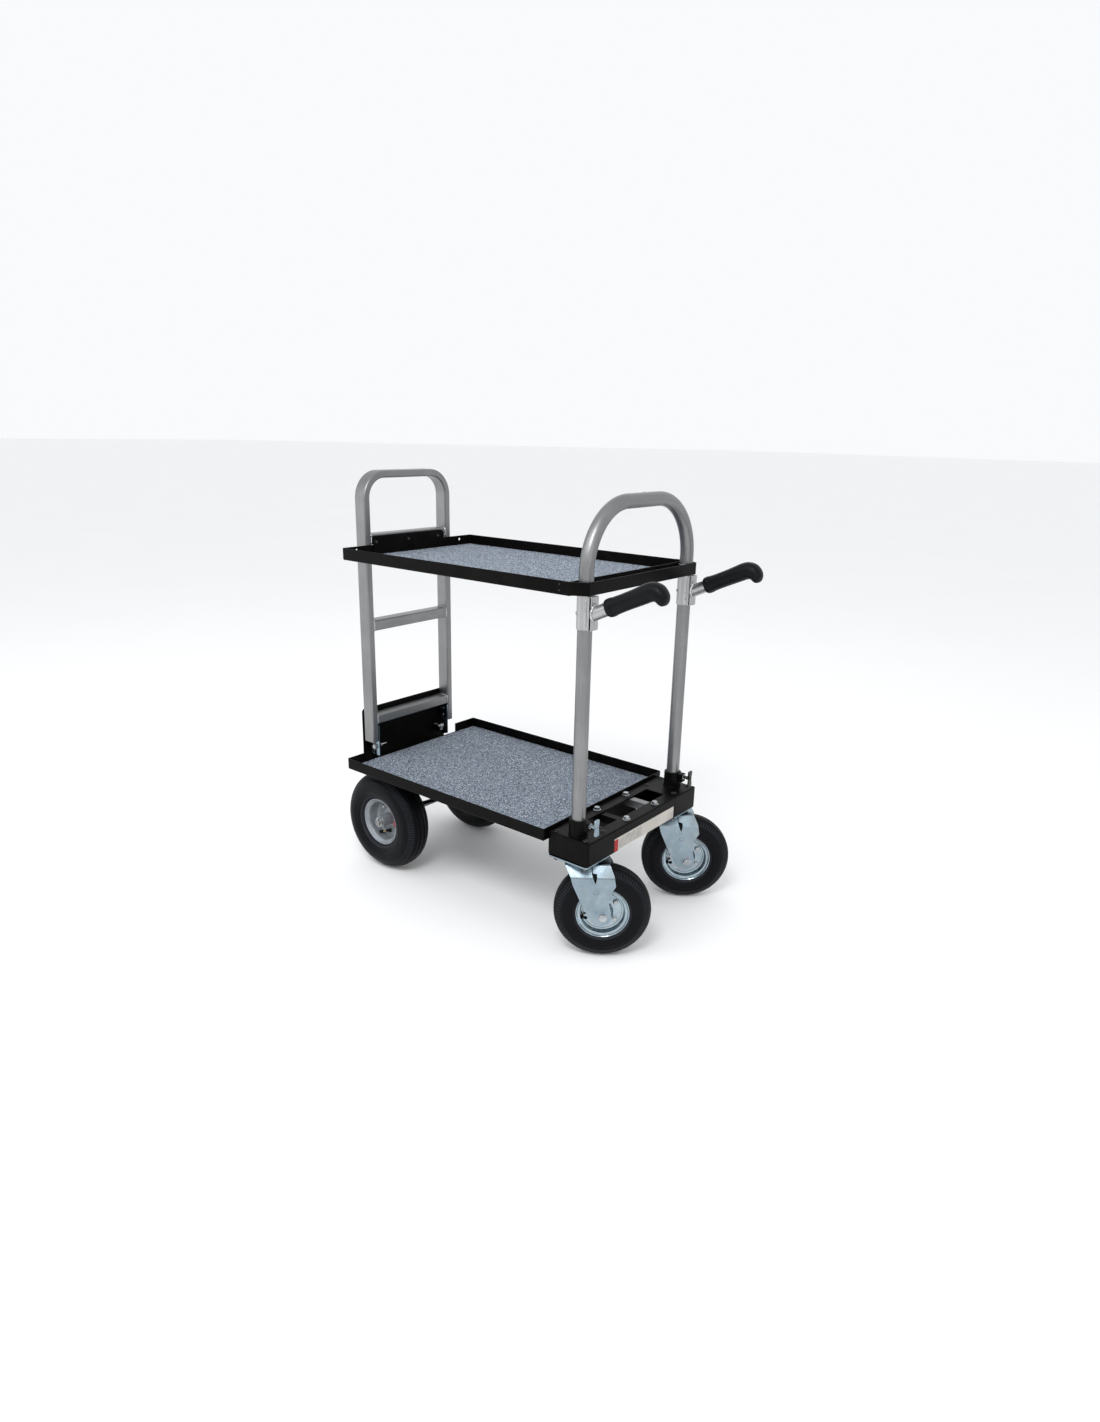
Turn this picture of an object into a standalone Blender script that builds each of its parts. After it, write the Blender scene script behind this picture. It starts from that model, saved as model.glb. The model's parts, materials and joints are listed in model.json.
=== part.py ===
"""Two-shelf rolling cart, built as an assembly of separate pieces.

A hand-truck style base with two pneumatic rear wheels on a through axle and
two swivel casters carries a lower carpeted tray.  A ladder frame at the rear
and a removable bent push loop at the front carry an upper carpeted tray.
Units are metres, +Z up, +X towards the swivel casters.  All dimensions below
are written with X = 0 at the rear axle and Y = 0 on the cart's centre plane;
the empty "cart_origin" carries the whole cart so that the world origin is the
middle of its footprint on the floor.
"""
import math

import bmesh
import bpy
from mathutils import Matrix, Vector

# ------------------------------------------------------------------ dimensions
GAP = 0.0003                    # running / assembly gap between touching pieces
ORIGIN_X, ORIGIN_Y = 0.3642635, 0.0290677   # rear-axle frame to footprint centre

SHEET = 0.0020                  # tray sheet thickness

# lower tray
LT_X0, LT_X1, LT_Y = -0.0731, 0.6038, 0.2422
LT_Z0, LT_Z1 = 0.2808, 0.3108
NOTCH_Y = 0.1625                # half width of the notch in the rear rim
CARPET_T = 0.0040

# upper tray and its end strap
UT_X0, UT_X1, UT_Y = -0.0706, 0.6487, 0.2292
UT_Z0, UT_Z1 = 0.8366, 0.8666
STRAP_X, STRAP_Y = 0.6845, 0.2127
STRAP_Z0, STRAP_T = 0.8390, 0.0024

# hand-truck style frame under the lower tray
RAIL_Y, RAIL_W = 0.1000, 0.0250
RAIL_Z0, RAIL_Z1 = 0.2505, 0.2805
RAIL_X0, RAIL_X1 = -0.0660, 0.6039   # the rails butt against the inner beam
BEAM_Z0, BEAM_Z1, BEAM_T = 0.2808, 0.3028, 0.0030
FRONT_X = 0.7176                # front face of the front beam and boxes
INNER_BEAM_X = (0.6042, 0.6342)
CROSS_BAR_X0 = 0.6903
FRONT_BEAM_X = (0.6856, 0.7176)
LINK_Y, LINK_W = 0.0600, 0.0200
BOLT_X = (0.6180, 0.7020)

# caster boxes with the push-loop sockets
BOX_X0, BOX_Y0, BOX_Y1 = 0.6043, 0.1280, 0.2268
BOX_Z0, BOX_Z1, BOX_T = 0.2460, 0.3028, 0.0030
POST_X, POST_Y, POST_R = 0.6659, 0.1972, 0.015875
POST_WALL = 0.0020
SOCKET_R, SOCKET_BORE = 0.0210, 0.0163
SOCKET_Z0, SOCKET_Z1 = 0.2530, 0.3400
LOCK_Z = 0.3320
LOCK_WING_X = 0.0500            # lock screw wing, out from the post axis

# push loop
LOOP_TOP, LOOP_BEND, LOOP_Z0 = 1.0354, 0.1372, 0.2585

# push handles
SLEEVE_R, SLEEVE_BORE = 0.0182, 0.0162
SLEEVE_Z0, SLEEVE_Z1 = 0.7670, 0.8363
HANDLE_TILT = math.radians(24.9)
GRIP_X, GRIP_Z = 0.7246, 0.8182  # start of the grip on the handle's axis
HTUBE_R, GRIP_R, GRIP_BORE = 0.01425, 0.0190, 0.01455

# ladder frame
LAD_X0, LAD_X1 = -0.1101, -0.0714
LAD_Y, LAD_W = 0.1520, 0.0190
LAD_Z0, LAD_Z1, LAD_R = 0.3300, 1.0510, 0.0700
RUNG_X0, RUNG_X1 = -0.1085, -0.0736
RUNGS = {"top": (0.8660, 0.8925), "mid": (0.6390, 0.6670), "low": (0.3800, 0.4050)}

# nose plate and the ladder's feet
NOSE_X0, NOSE_X1 = -0.1146, -0.1110
NOSE_Y, NOSE_Z0, NOSE_Z1 = 0.1540, 0.2470, 0.4190
FOOT_BOLT_X, FOOT_BOLT_Z, FOOT_BOLT_R = -0.0885, 0.3120, 0.0039

# rear axle and wheels
AXLE_Z, AXLE_R = 0.1339, 0.0079
WHEEL_Y = 0.1702
REAR_R, REAR_HALF = 0.1339, 0.0438
BRACKET_Y0, BRACKET_Y1 = 0.1128, 0.1188

# swivel casters
SWIVEL_X, SWIVEL_Y = 0.6600, 0.1830
CASTER_YAW = math.radians(37.8)     # heading of the trailing wheels at rest
CASTER_TRAIL = 0.0570
CASTER_R, CASTER_HALF = 0.1121, 0.0333
FORK_S, FORK_T = 0.0435, 0.0030
FORK_CROWN_Z = 0.2345

TYRE_STEPS, RIM_STEPS, ROUND_STEPS = 24, 24, 20

# ------------------------------------------------------------------ scene set-up
for ob in list(bpy.data.objects):
    bpy.data.objects.remove(ob, do_unlink=True)

PARTS = bpy.data.collections.new("two_shelf_cart")
CUTTERS = bpy.data.collections.new("cutters")
bpy.context.scene.collection.children.link(PARTS)
bpy.context.scene.collection.children.link(CUTTERS)

ORIGIN = bpy.data.objects.new("cart_origin", None)
ORIGIN.location = (-ORIGIN_X, -ORIGIN_Y, 0.0)
PARTS.objects.link(ORIGIN)


def material(name, colour, roughness, metallic):
    mat = bpy.data.materials.new(name)
    mat.use_nodes = True
    bsdf = mat.node_tree.nodes["Principled BSDF"]
    bsdf.inputs["Base Color"].default_value = (*colour, 1.0)
    bsdf.inputs["Roughness"].default_value = roughness
    bsdf.inputs["Metallic"].default_value = metallic
    return mat


ALU = material("satin_aluminium", (0.62, 0.62, 0.64), 0.38, 1.0)
BLACK = material("black_powder_coat", (0.012, 0.011, 0.011), 0.35, 0.0)
ZINC = material("bright_zinc", (0.66, 0.72, 0.78), 0.28, 1.0)
CARPET = material("grey_carpet", (0.25, 0.28, 0.32), 0.95, 0.0)
RUBBER = material("tyre_rubber", (0.012, 0.012, 0.014), 0.70, 0.0)
RIM = material("grey_rim_paint", (0.55, 0.57, 0.60), 0.40, 0.1)
VINYL = material("grip_vinyl", (0.018, 0.020, 0.026), 0.45, 0.0)
STEEL = material("axle_steel", (0.45, 0.45, 0.46), 0.35, 1.0)


def place(ob, mat=None, location=(0, 0, 0), rotation=(0, 0, 0), smooth=None):
    """Link a part, give it its material and parent it to the cart's origin."""
    PARTS.objects.link(ob)
    ob.location, ob.rotation_euler = location, rotation
    ob.parent = ORIGIN
    if mat is not None:
        ob.data.materials.append(mat)
    if smooth is not None:
        ob.data.shade_smooth()
        ob.data.set_sharp_from_angle(angle=math.radians(smooth))
    return ob


def cutter(ob, location=(0, 0, 0), rotation=(0, 0, 0)):
    CUTTERS.objects.link(ob)
    ob.location, ob.rotation_euler = location, rotation
    ob.parent = ORIGIN
    ob.hide_render = True
    ob.display_type = "WIRE"
    return ob


def box_mesh(name, lo, hi):
    """A box mesh between two corners."""
    bm = bmesh.new()
    bmesh.ops.create_cube(bm, size=1.0)
    size = [b - a for a, b in zip(lo, hi)]
    mid = [(a + b) / 2 for a, b in zip(lo, hi)]
    bmesh.ops.scale(bm, vec=size, verts=bm.verts)
    bmesh.ops.translate(bm, vec=mid, verts=bm.verts)
    me = bpy.data.meshes.new(name)
    bm.to_mesh(me)
    bm.free()
    return me


def box_part(name, lo, hi, mat, bevel=0.0):
    ob = place(bpy.data.objects.new(name, box_mesh(name, lo, hi)), mat)
    if bevel:
        add_bevel(ob, bevel)
    return ob


def box_cutter(name, lo, hi, location=(0, 0, 0), rotation=(0, 0, 0)):
    return cutter(bpy.data.objects.new(name, box_mesh(name, lo, hi)), location, rotation)


def cylinder_mesh(name, radius, z0, z1, steps=ROUND_STEPS, radius2=None):
    bm = bmesh.new()
    bmesh.ops.create_cone(bm, cap_ends=True, segments=steps, radius1=radius,
                          radius2=radius if radius2 is None else radius2, depth=z1 - z0)
    bmesh.ops.translate(bm, vec=(0, 0, (z0 + z1) / 2), verts=bm.verts)
    me = bpy.data.meshes.new(name)
    bm.to_mesh(me)
    bm.free()
    return me


def cylinder_cutter(name, radius, z0, z1, location, rotation=(0, 0, 0), steps=ROUND_STEPS):
    return cutter(bpy.data.objects.new(name, cylinder_mesh(name, radius, z0, z1, steps)),
                  location, rotation)


def add_bevel(ob, width, segments=1, angle=35.0):
    mod = ob.modifiers.new("edge", "BEVEL")
    mod.width, mod.segments = width, segments
    mod.limit_method, mod.angle_limit = "ANGLE", math.radians(angle)
    return mod


def boolean(ob, other, operation="DIFFERENCE"):
    mod = ob.modifiers.new(operation.lower(), "BOOLEAN")
    mod.operation, mod.object, mod.solver = operation, other, "EXACT"
    return mod


def outline_mesh(name, points, half):
    """A flat outline, filled and extruded by half its thickness each way, as a mesh."""
    cu = bpy.data.curves.new(name, "CURVE")
    cu.dimensions, cu.fill_mode, cu.extrude = "2D", "BOTH", half
    sp = cu.splines.new("POLY")
    sp.points.add(len(points) - 1)
    for p, (a, b) in zip(sp.points, points):
        p.co = (a, b, 0.0, 1.0)
    sp.use_cyclic_u = True
    tmp = bpy.data.objects.new(name + "_outline", cu)
    bpy.context.scene.collection.objects.link(tmp)
    dg = bpy.context.evaluated_depsgraph_get()
    me = bpy.data.meshes.new_from_object(tmp.evaluated_get(dg))
    bpy.data.objects.remove(tmp, do_unlink=True)
    bm = bmesh.new()
    bm.from_mesh(me)
    bmesh.ops.remove_doubles(bm, verts=bm.verts, dist=0.00001)
    bmesh.ops.recalc_face_normals(bm, faces=bm.faces)
    bmesh.ops.dissolve_limit(bm, angle_limit=math.radians(0.5), verts=bm.verts, edges=bm.edges)
    bm.to_mesh(me)
    bm.free()
    me.name = name
    return me


def lathe(name, profile, mat, location, rotation, steps, closed=True, smooth=40, own=None):
    """Turn a profile of (radius, height) points about local Z with a Screw modifier."""
    bm = bmesh.new()
    verts = [bm.verts.new((r, 0.0, z)) for r, z in profile]
    for a, b in zip(verts, verts[1:]):
        bm.edges.new((a, b))
    if closed:
        bm.edges.new((verts[-1], verts[0]))
    me = bpy.data.meshes.new(name)
    bm.to_mesh(me)
    bm.free()
    ob = bpy.data.objects.new(name, me)
    (own or place)(ob, *((mat,) if own is None else ()), location=location, rotation=rotation)
    mod = ob.modifiers.new("turn", "SCREW")
    mod.axis, mod.angle, mod.screw_offset = "Z", math.tau, 0.0
    mod.steps = mod.render_steps = steps
    mod.use_merge_vertices, mod.merge_threshold = True, 0.0001
    mod.use_smooth_shade = True
    return ob


def tube_curve(name, points, radius, caps=True, resolution=3):
    cu = bpy.data.curves.new(name, "CURVE")
    cu.dimensions, cu.bevel_depth, cu.bevel_resolution = "3D", radius, resolution
    cu.use_fill_caps = caps
    sp = cu.splines.new("POLY")
    sp.points.add(len(points) - 1)
    for p, co in zip(sp.points, points):
        p.co = (*co, 1.0)
    return cu


def arc(cx, cy, radius, a0, a1, n):
    """Points on an arc from angle a0 to a1 (degrees), both ends included."""
    return [(cx + radius * math.cos(math.radians(a0 + (a1 - a0) * i / n)),
             cy + radius * math.sin(math.radians(a0 + (a1 - a0) * i / n))) for i in range(n + 1)]


ROT_XZ = (math.pi / 2, 0, 0)                 # local x, y, z -> +X, +Z, -Y
ROT_YZ = (math.pi / 2, 0, math.pi / 2)       # local x, y, z -> +Y, +Z, +X
SIDES = (("near", -1.0), ("far", 1.0))

# ------------------------------------------------------------------ lower tray
def pan_mesh(name, lo, hi):
    """An open-topped box: a cube with its top face removed."""
    me = box_mesh(name, lo, hi)
    bm = bmesh.new()
    bm.from_mesh(me)
    top = [f for f in bm.faces if f.normal.z > 0.9]
    bmesh.ops.delete(bm, geom=top, context="FACES_ONLY")
    bm.to_mesh(me)
    bm.free()
    return me


def pan(name, lo, hi, thickness, mat):
    ob = place(bpy.data.objects.new(name, pan_mesh(name, lo, hi)), mat)
    mod = ob.modifiers.new("sheet", "SOLIDIFY")
    mod.thickness, mod.offset, mod.use_even_offset = thickness, -1.0, True
    return ob


lower_tray = pan("lower_tray", (LT_X0, -LT_Y, LT_Z0), (LT_X1, LT_Y, LT_Z1), SHEET, BLACK)
boolean(lower_tray, box_cutter("cut_rear_notch", (LT_X0 - 0.010, -NOTCH_Y, LT_Z0 + SHEET),
                               (LT_X0 + 0.010, NOTCH_Y, LT_Z1 + 0.010)))
box_part("lower_carpet",
         (LT_X0 + SHEET + GAP, -LT_Y + SHEET + GAP, LT_Z0 + SHEET + GAP),
         (LT_X1 - SHEET - GAP, LT_Y - SHEET - GAP, LT_Z0 + SHEET + GAP + CARPET_T), CARPET)

# ------------------------------------------------------------------ base frame
for side, s in SIDES:
    y0, y1 = sorted((s * (RAIL_Y - RAIL_W / 2), s * (RAIL_Y + RAIL_W / 2)))
    box_part("frame_rail_" + side, (RAIL_X0, y0, RAIL_Z0), (RAIL_X1, y1, RAIL_Z1), ALU, 0.002)
    y0, y1 = sorted((s * (LINK_Y - LINK_W / 2), s * (LINK_Y + LINK_W / 2)))
    box_part("link_bar_" + side, (INNER_BEAM_X[0] + BEAM_T + GAP, y0, BEAM_Z0),
             (FRONT_BEAM_X[1] - BEAM_T - GAP, y1, BEAM_Z1 - BEAM_T - GAP), ALU)
member_y = RAIL_Y - RAIL_W / 2 - GAP
box_part("cross_member_rear", (0.020, -member_y, RAIL_Z0), (0.050, member_y, RAIL_Z1), ALU, 0.002)
box_part("cross_member_mid", (0.300, -member_y, RAIL_Z0), (0.330, member_y, RAIL_Z1), ALU, 0.002)
box_part("front_cross_bar", (CROSS_BAR_X0, -BOX_Y0 + GAP, 0.2480),
         (FRONT_X - 0.0012, BOX_Y0 - GAP, BEAM_Z0 - GAP), ALU, 0.0015)


def angle_beam(name, x0, x1, z0, flange_at_x1):
    """An angle section along Y: top flange and one flange hanging to z0."""
    t, z1 = BEAM_T, BEAM_Z1
    if flange_at_x1:
        pts = [(x0, z1 - t), (x1 - t, z1 - t), (x1 - t, z0), (x1, z0), (x1, z1), (x0, z1)]
    else:
        pts = [(x0, z0), (x0 + t, z0), (x0 + t, z1 - t), (x1, z1 - t), (x1, z1), (x0, z1)]
    ob = bpy.data.objects.new(name, outline_mesh(name, pts, BOX_Y0 - GAP))
    place(ob, BLACK, rotation=ROT_XZ)
    for i, s in enumerate((-1.0, 1.0)):
        bx = BOLT_X[1] if flange_at_x1 else BOLT_X[0]
        boolean(ob, cylinder_cutter("cut_%s_%d" % (name, i), 0.0043, BEAM_Z0 - 0.01, BEAM_Z1 + 0.01,
                                    (bx, s * LINK_Y, 0), steps=12))
    return ob


angle_beam("inner_beam", *INNER_BEAM_X, BOX_Z0, False)
angle_beam("front_beam", *FRONT_BEAM_X, BEAM_Z0, True)
for side, s in SIDES:
    link = bpy.data.objects["link_bar_" + side]
    for i, bx in enumerate(BOLT_X):
        boolean(link, cylinder_cutter("cut_link_%s_%d" % (side, i), 0.0043, 0.27, 0.31,
                                      (bx, s * LINK_Y, 0), steps=12))
        # hex-head frame bolt with its washer, head on the beam's top flange
        name = "frame_bolt_%s_%s" % ("inner" if i == 0 else "front", side)
        z = BEAM_Z1 + GAP
        profile = [(0.0, z + 0.0075), (0.0062, z + 0.0075), (0.0068, z + 0.0068), (0.0068, z + 0.0018),
                   (0.0090, z + 0.0018), (0.0090, z), (0.0040, z), (0.0040, BEAM_Z0 + GAP), (0.0, BEAM_Z0 + GAP)]
        lathe(name, profile, ZINC, (bx, s * LINK_Y, 0), (0, 0, 0), 12, closed=False)

# ------------------------------------------------------------------ caster boxes and sockets
for side, s in SIDES:
    lo = (BOX_X0, min(s * BOX_Y0, s * BOX_Y1), BOX_Z0)
    hi = (FRONT_X, max(s * BOX_Y0, s * BOX_Y1), BOX_Z1)
    me = box_mesh("caster_box_" + side, lo, hi)
    bm = bmesh.new()
    bm.from_mesh(me)
    bmesh.ops.delete(bm, geom=[f for f in bm.faces if f.normal.y * s < -0.9], context="FACES_ONLY")
    bm.to_mesh(me)
    bm.free()
    ob = place(bpy.data.objects.new("caster_box_" + side, me), BLACK)
    mod = ob.modifiers.new("sheet", "SOLIDIFY")
    mod.thickness, mod.offset, mod.use_even_offset = BOX_T, -1.0, True
    at = (POST_X, s * POST_Y, 0)
    # the socket tube passes through the box top; its ear carries the lock screw
    boolean(ob, cylinder_cutter("add_socket_" + side, SOCKET_R, SOCKET_Z0, SOCKET_Z1, at), "UNION")
    boolean(ob, box_cutter("add_ear_" + side, (POST_X + 0.012, s * POST_Y - 0.009, 0.3180),
                           (POST_X + 0.0325, s * POST_Y + 0.009, SOCKET_Z1 - 0.0005)), "UNION")
    boolean(ob, cylinder_cutter("cut_socket_" + side, SOCKET_BORE, SOCKET_Z0 + 0.004, SOCKET_Z1 + 0.01, at))
    boolean(ob, cylinder_cutter("cut_lock_" + side, 0.0040, 0.0, 0.05,
                                (POST_X, s * POST_Y, LOCK_Z), (0, math.pi / 2, 0), steps=12))

    # lock screw with a flat wing: its axis is along X
    knob = bpy.data.objects.new("lock_screw_" + side,
                                cylinder_mesh("lock_screw_" + side, 0.0037, POST_R + 0.0006, LOCK_WING_X + 0.0034, 12))
    place(knob, ZINC, (POST_X, s * POST_Y, LOCK_Z), (0, math.pi / 2, 0))
    boolean(knob, cylinder_cutter("add_lock_boss_" + side, 0.0047, LOCK_WING_X - 0.0090, LOCK_WING_X - 0.0016,
                                  (POST_X, s * POST_Y, LOCK_Z), (0, math.pi / 2, 0), steps=12), "UNION")
    # the wing is a bow tie: wide rounded ends, a narrower waist at the boss
    wing = outline_mesh("wing_" + side, [(-0.0195, -0.0050), (-0.0165, -0.0078), (-0.0110, -0.0074),
                                         (-0.0060, -0.0054), (0.0060, -0.0054), (0.0110, -0.0074),
                                         (0.0165, -0.0078), (0.0195, -0.0050), (0.0195, 0.0050),
                                         (0.0165, 0.0078), (0.0110, 0.0074), (0.0060, 0.0054),
                                         (-0.0060, 0.0054), (-0.0110, 0.0074), (-0.0165, 0.0078),
                                         (-0.0195, 0.0050)], 0.0024)
    boolean(knob, cutter(bpy.data.objects.new("add_lock_wing_" + side, wing),
                         (POST_X + LOCK_WING_X, s * POST_Y, LOCK_Z), (0, math.pi / 2, 0)), "UNION")

# ------------------------------------------------------------------ nose plate, lugs, foot bolts
nose = bpy.data.objects.new("nose_plate", outline_mesh(
    "nose_plate", [(NOSE_X0, NOSE_Z0), (-0.056, NOSE_Z0), (-0.056, NOSE_Z0 + 0.0030),
                   (NOSE_X1, NOSE_Z0 + 0.0030), (NOSE_X1, NOSE_Z1), (NOSE_X0, NOSE_Z1)], NOSE_Y))
place(nose, BLACK, rotation=ROT_XZ)
for side, s in SIDES:
    # the foot flange is only as wide as the rails, clear of the tyres
    y0, y1 = sorted((s * (RAIL_Y + RAIL_W / 2), s * (NOSE_Y + 0.010)))
    boolean(nose, box_cutter("cut_flange_" + side, (NOSE_X1, y0, NOSE_Z0 - 0.010),
                             (-0.045, y1, NOSE_Z0 + 0.010)))
    y_in, y_out = 0.1237, 0.1294
    lug = outline_mesh("nose_lug_" + side,
                       [(NOSE_X1 + GAP, 0.2878), (-0.0756, 0.2878), (-0.0756, 0.3180),
                        (-0.0820, 0.3275), (NOSE_X1 + GAP, 0.3275)], (y_out - y_in) / 2)
    ob = place(bpy.data.objects.new("nose_lug_" + side, lug), BLACK, (0, s * (y_in + y_out) / 2, 0), ROT_XZ)
    boolean(ob, cylinder_cutter("cut_lug_" + side, FOOT_BOLT_R + GAP, -0.02, 0.02,
                                (FOOT_BOLT_X, s * 0.127, FOOT_BOLT_Z), ROT_XZ, steps=12))
    # foot bolt along Y: its head is outboard, its thread inboard
    profile = [(0.0, 0.1385), (0.0065, 0.1385), (0.0070, 0.1378), (0.0070, 0.1330),
               (FOOT_BOLT_R, 0.1330), (FOOT_BOLT_R, 0.1090), (0.0, 0.1090)]
    lathe("foot_bolt_" + side, profile, ZINC, (FOOT_BOLT_X, 0, FOOT_BOLT_Z),
          ROT_XZ if s < 0 else (-math.pi / 2, 0, 0), 12, closed=False)
    # wing nut on the inboard side, turning about Y
    nut = bpy.data.objects.new("wing_nut_" + side,
                               cylinder_mesh("wing_nut_" + side, 0.0070, 0.1125, 0.1234, 16))
    rot = ROT_XZ if s < 0 else (-math.pi / 2, 0, 0)
    place(nut, ZINC, (FOOT_BOLT_X, 0, FOOT_BOLT_Z), rot)
    for k, sx in enumerate((-1, 1)):
        wing = outline_mesh("foot_wing_%s_%d" % (side, k),
                            [(sx * 0.0040, 0.1130), (sx * 0.0125, 0.1035), (sx * 0.0165, 0.1035),
                             (sx * 0.0175, 0.1080), (sx * 0.0110, 0.1200), (sx * 0.0040, 0.1225)], 0.0013)
        # outline x along the wing, y along the nut's axis
        w = cutter(bpy.data.objects.new("add_foot_wing_%s_%d" % (side, k), wing),
                   (FOOT_BOLT_X, 0, FOOT_BOLT_Z))
        w.rotation_euler = (Matrix.Rotation(rot[0], 4, "X") @ Matrix.Rotation(math.radians(28), 4, "Z")
                            @ Matrix.Rotation(math.pi / 2, 4, "X")).to_euler()
        boolean(nut, w, "UNION")
    boolean(nut, cylinder_cutter("cut_wing_nut_" + side, FOOT_BOLT_R + GAP, 0.09, 0.14,
                                 (FOOT_BOLT_X, 0, FOOT_BOLT_Z), rot, steps=12))

# ------------------------------------------------------------------ rear axle, brackets, braces
profile = [(0.0, 0.2120), (AXLE_R, 0.2110), (AXLE_R, 0.2060), (0.0125, 0.2060),
           (0.0125, 0.2038), (AXLE_R, 0.2038), (AXLE_R, 0.1348), (0.0120, 0.1348), (0.0120, 0.1192),
           (AXLE_R, 0.1192)]
profile = profile + [(r, -z) for r, z in reversed(profile)]
lathe("rear_axle", profile, STEEL, (0, 0, AXLE_Z), ROT_XZ, 16, closed=False)
for side, s in SIDES:
    ymid, half = s * (BRACKET_Y0 + BRACKET_Y1) / 2, (BRACKET_Y1 - BRACKET_Y0) / 2
    pts = ([(-0.050, RAIL_Z1), (-0.050, 0.245)] + arc(0, AXLE_Z, 0.020, 195, 345, 8)
           + [(0.070, 0.245), (0.070, RAIL_Z1)])
    ob = place(bpy.data.objects.new("axle_bracket_" + side, outline_mesh("axle_bracket_" + side, pts, half)),
               BLACK, (0, ymid, 0), ROT_XZ)
    boolean(ob, cylinder_cutter("cut_bracket_" + side, AXLE_R + GAP, -0.02, 0.02, (0, ymid, AXLE_Z), ROT_XZ))
    y = s * 0.1060
    ob = bpy.data.objects.new("axle_brace_" + side,
                              tube_curve("axle_brace_" + side, [(0.024, y, 0.1560), (0.196, y, 0.2410)], 0.0055,
                                         resolution=2))
    place(ob, BLACK)

# ------------------------------------------------------------------ wheels
REAR_TYRE = [(0.0558, 0.0238), (0.0648, 0.0238), (0.0660, 0.0300), (0.0800, 0.0415), (0.0970, REAR_HALF),
             (0.1140, 0.0395), (0.1280, 0.0245), (REAR_R, 0.0)]
REAR_TYRE = REAR_TYRE + [(r, -z) for r, z in reversed(REAR_TYRE[:-1])]
REAR_RIM = [(0.0640, 0.0274), (0.0640, 0.0242), (0.0553, 0.0242), (0.0553, -0.0242), (0.0640, -0.0242),
            (0.0640, -0.0274), (0.0522, -0.0270), (0.0518, -0.0108), (0.0155, -0.0108),
            (0.0155, -0.0340), (AXLE_R + GAP, -0.0340), (AXLE_R + GAP, 0.0325), (0.0155, 0.0325),
            (0.0155, -0.0078), (0.0440, -0.0078), (0.0522, -0.0020), (0.0522, 0.0270)]
CASTER_TYRE = [(0.0530, 0.0205), (0.0614, 0.0205), (0.0622, 0.0265), (0.0790, CASTER_HALF), (0.0905, 0.0322),
               (0.1035, 0.0240), (CASTER_R, 0.0)]
CASTER_TYRE = CASTER_TYRE + [(r, -z) for r, z in reversed(CASTER_TYRE[:-1])]
CASTER_RIM = [(0.0607, 0.0238), (0.0607, 0.0209), (0.0525, 0.0209), (0.0525, -0.0209), (0.0607, -0.0209),
              (0.0607, -0.0238), (0.0500, -0.0235), (0.0490, -0.0030), (0.0220, -0.0040),
              (0.0150, -0.0370), (0.0065, -0.0370), (0.0065, 0.0370), (0.0150, 0.0370),
              (0.0220, 0.0040), (0.0490, 0.0030), (0.0500, 0.0235)]
for side, s in SIDES:
    flip = 1.0 if s < 0 else -1.0           # outward side of the near wheel is local +Z
    rim = [(r, z * flip) for r, z in REAR_RIM]
    if flip < 0:
        rim.reverse()
    at = (0, s * WHEEL_Y, AXLE_Z)
    lathe("rear_tyre_" + side, REAR_TYRE, RUBBER, at, ROT_XZ, TYRE_STEPS)
    lathe("rear_rim_" + side, rim, RIM, at, ROT_XZ, RIM_STEPS)

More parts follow.
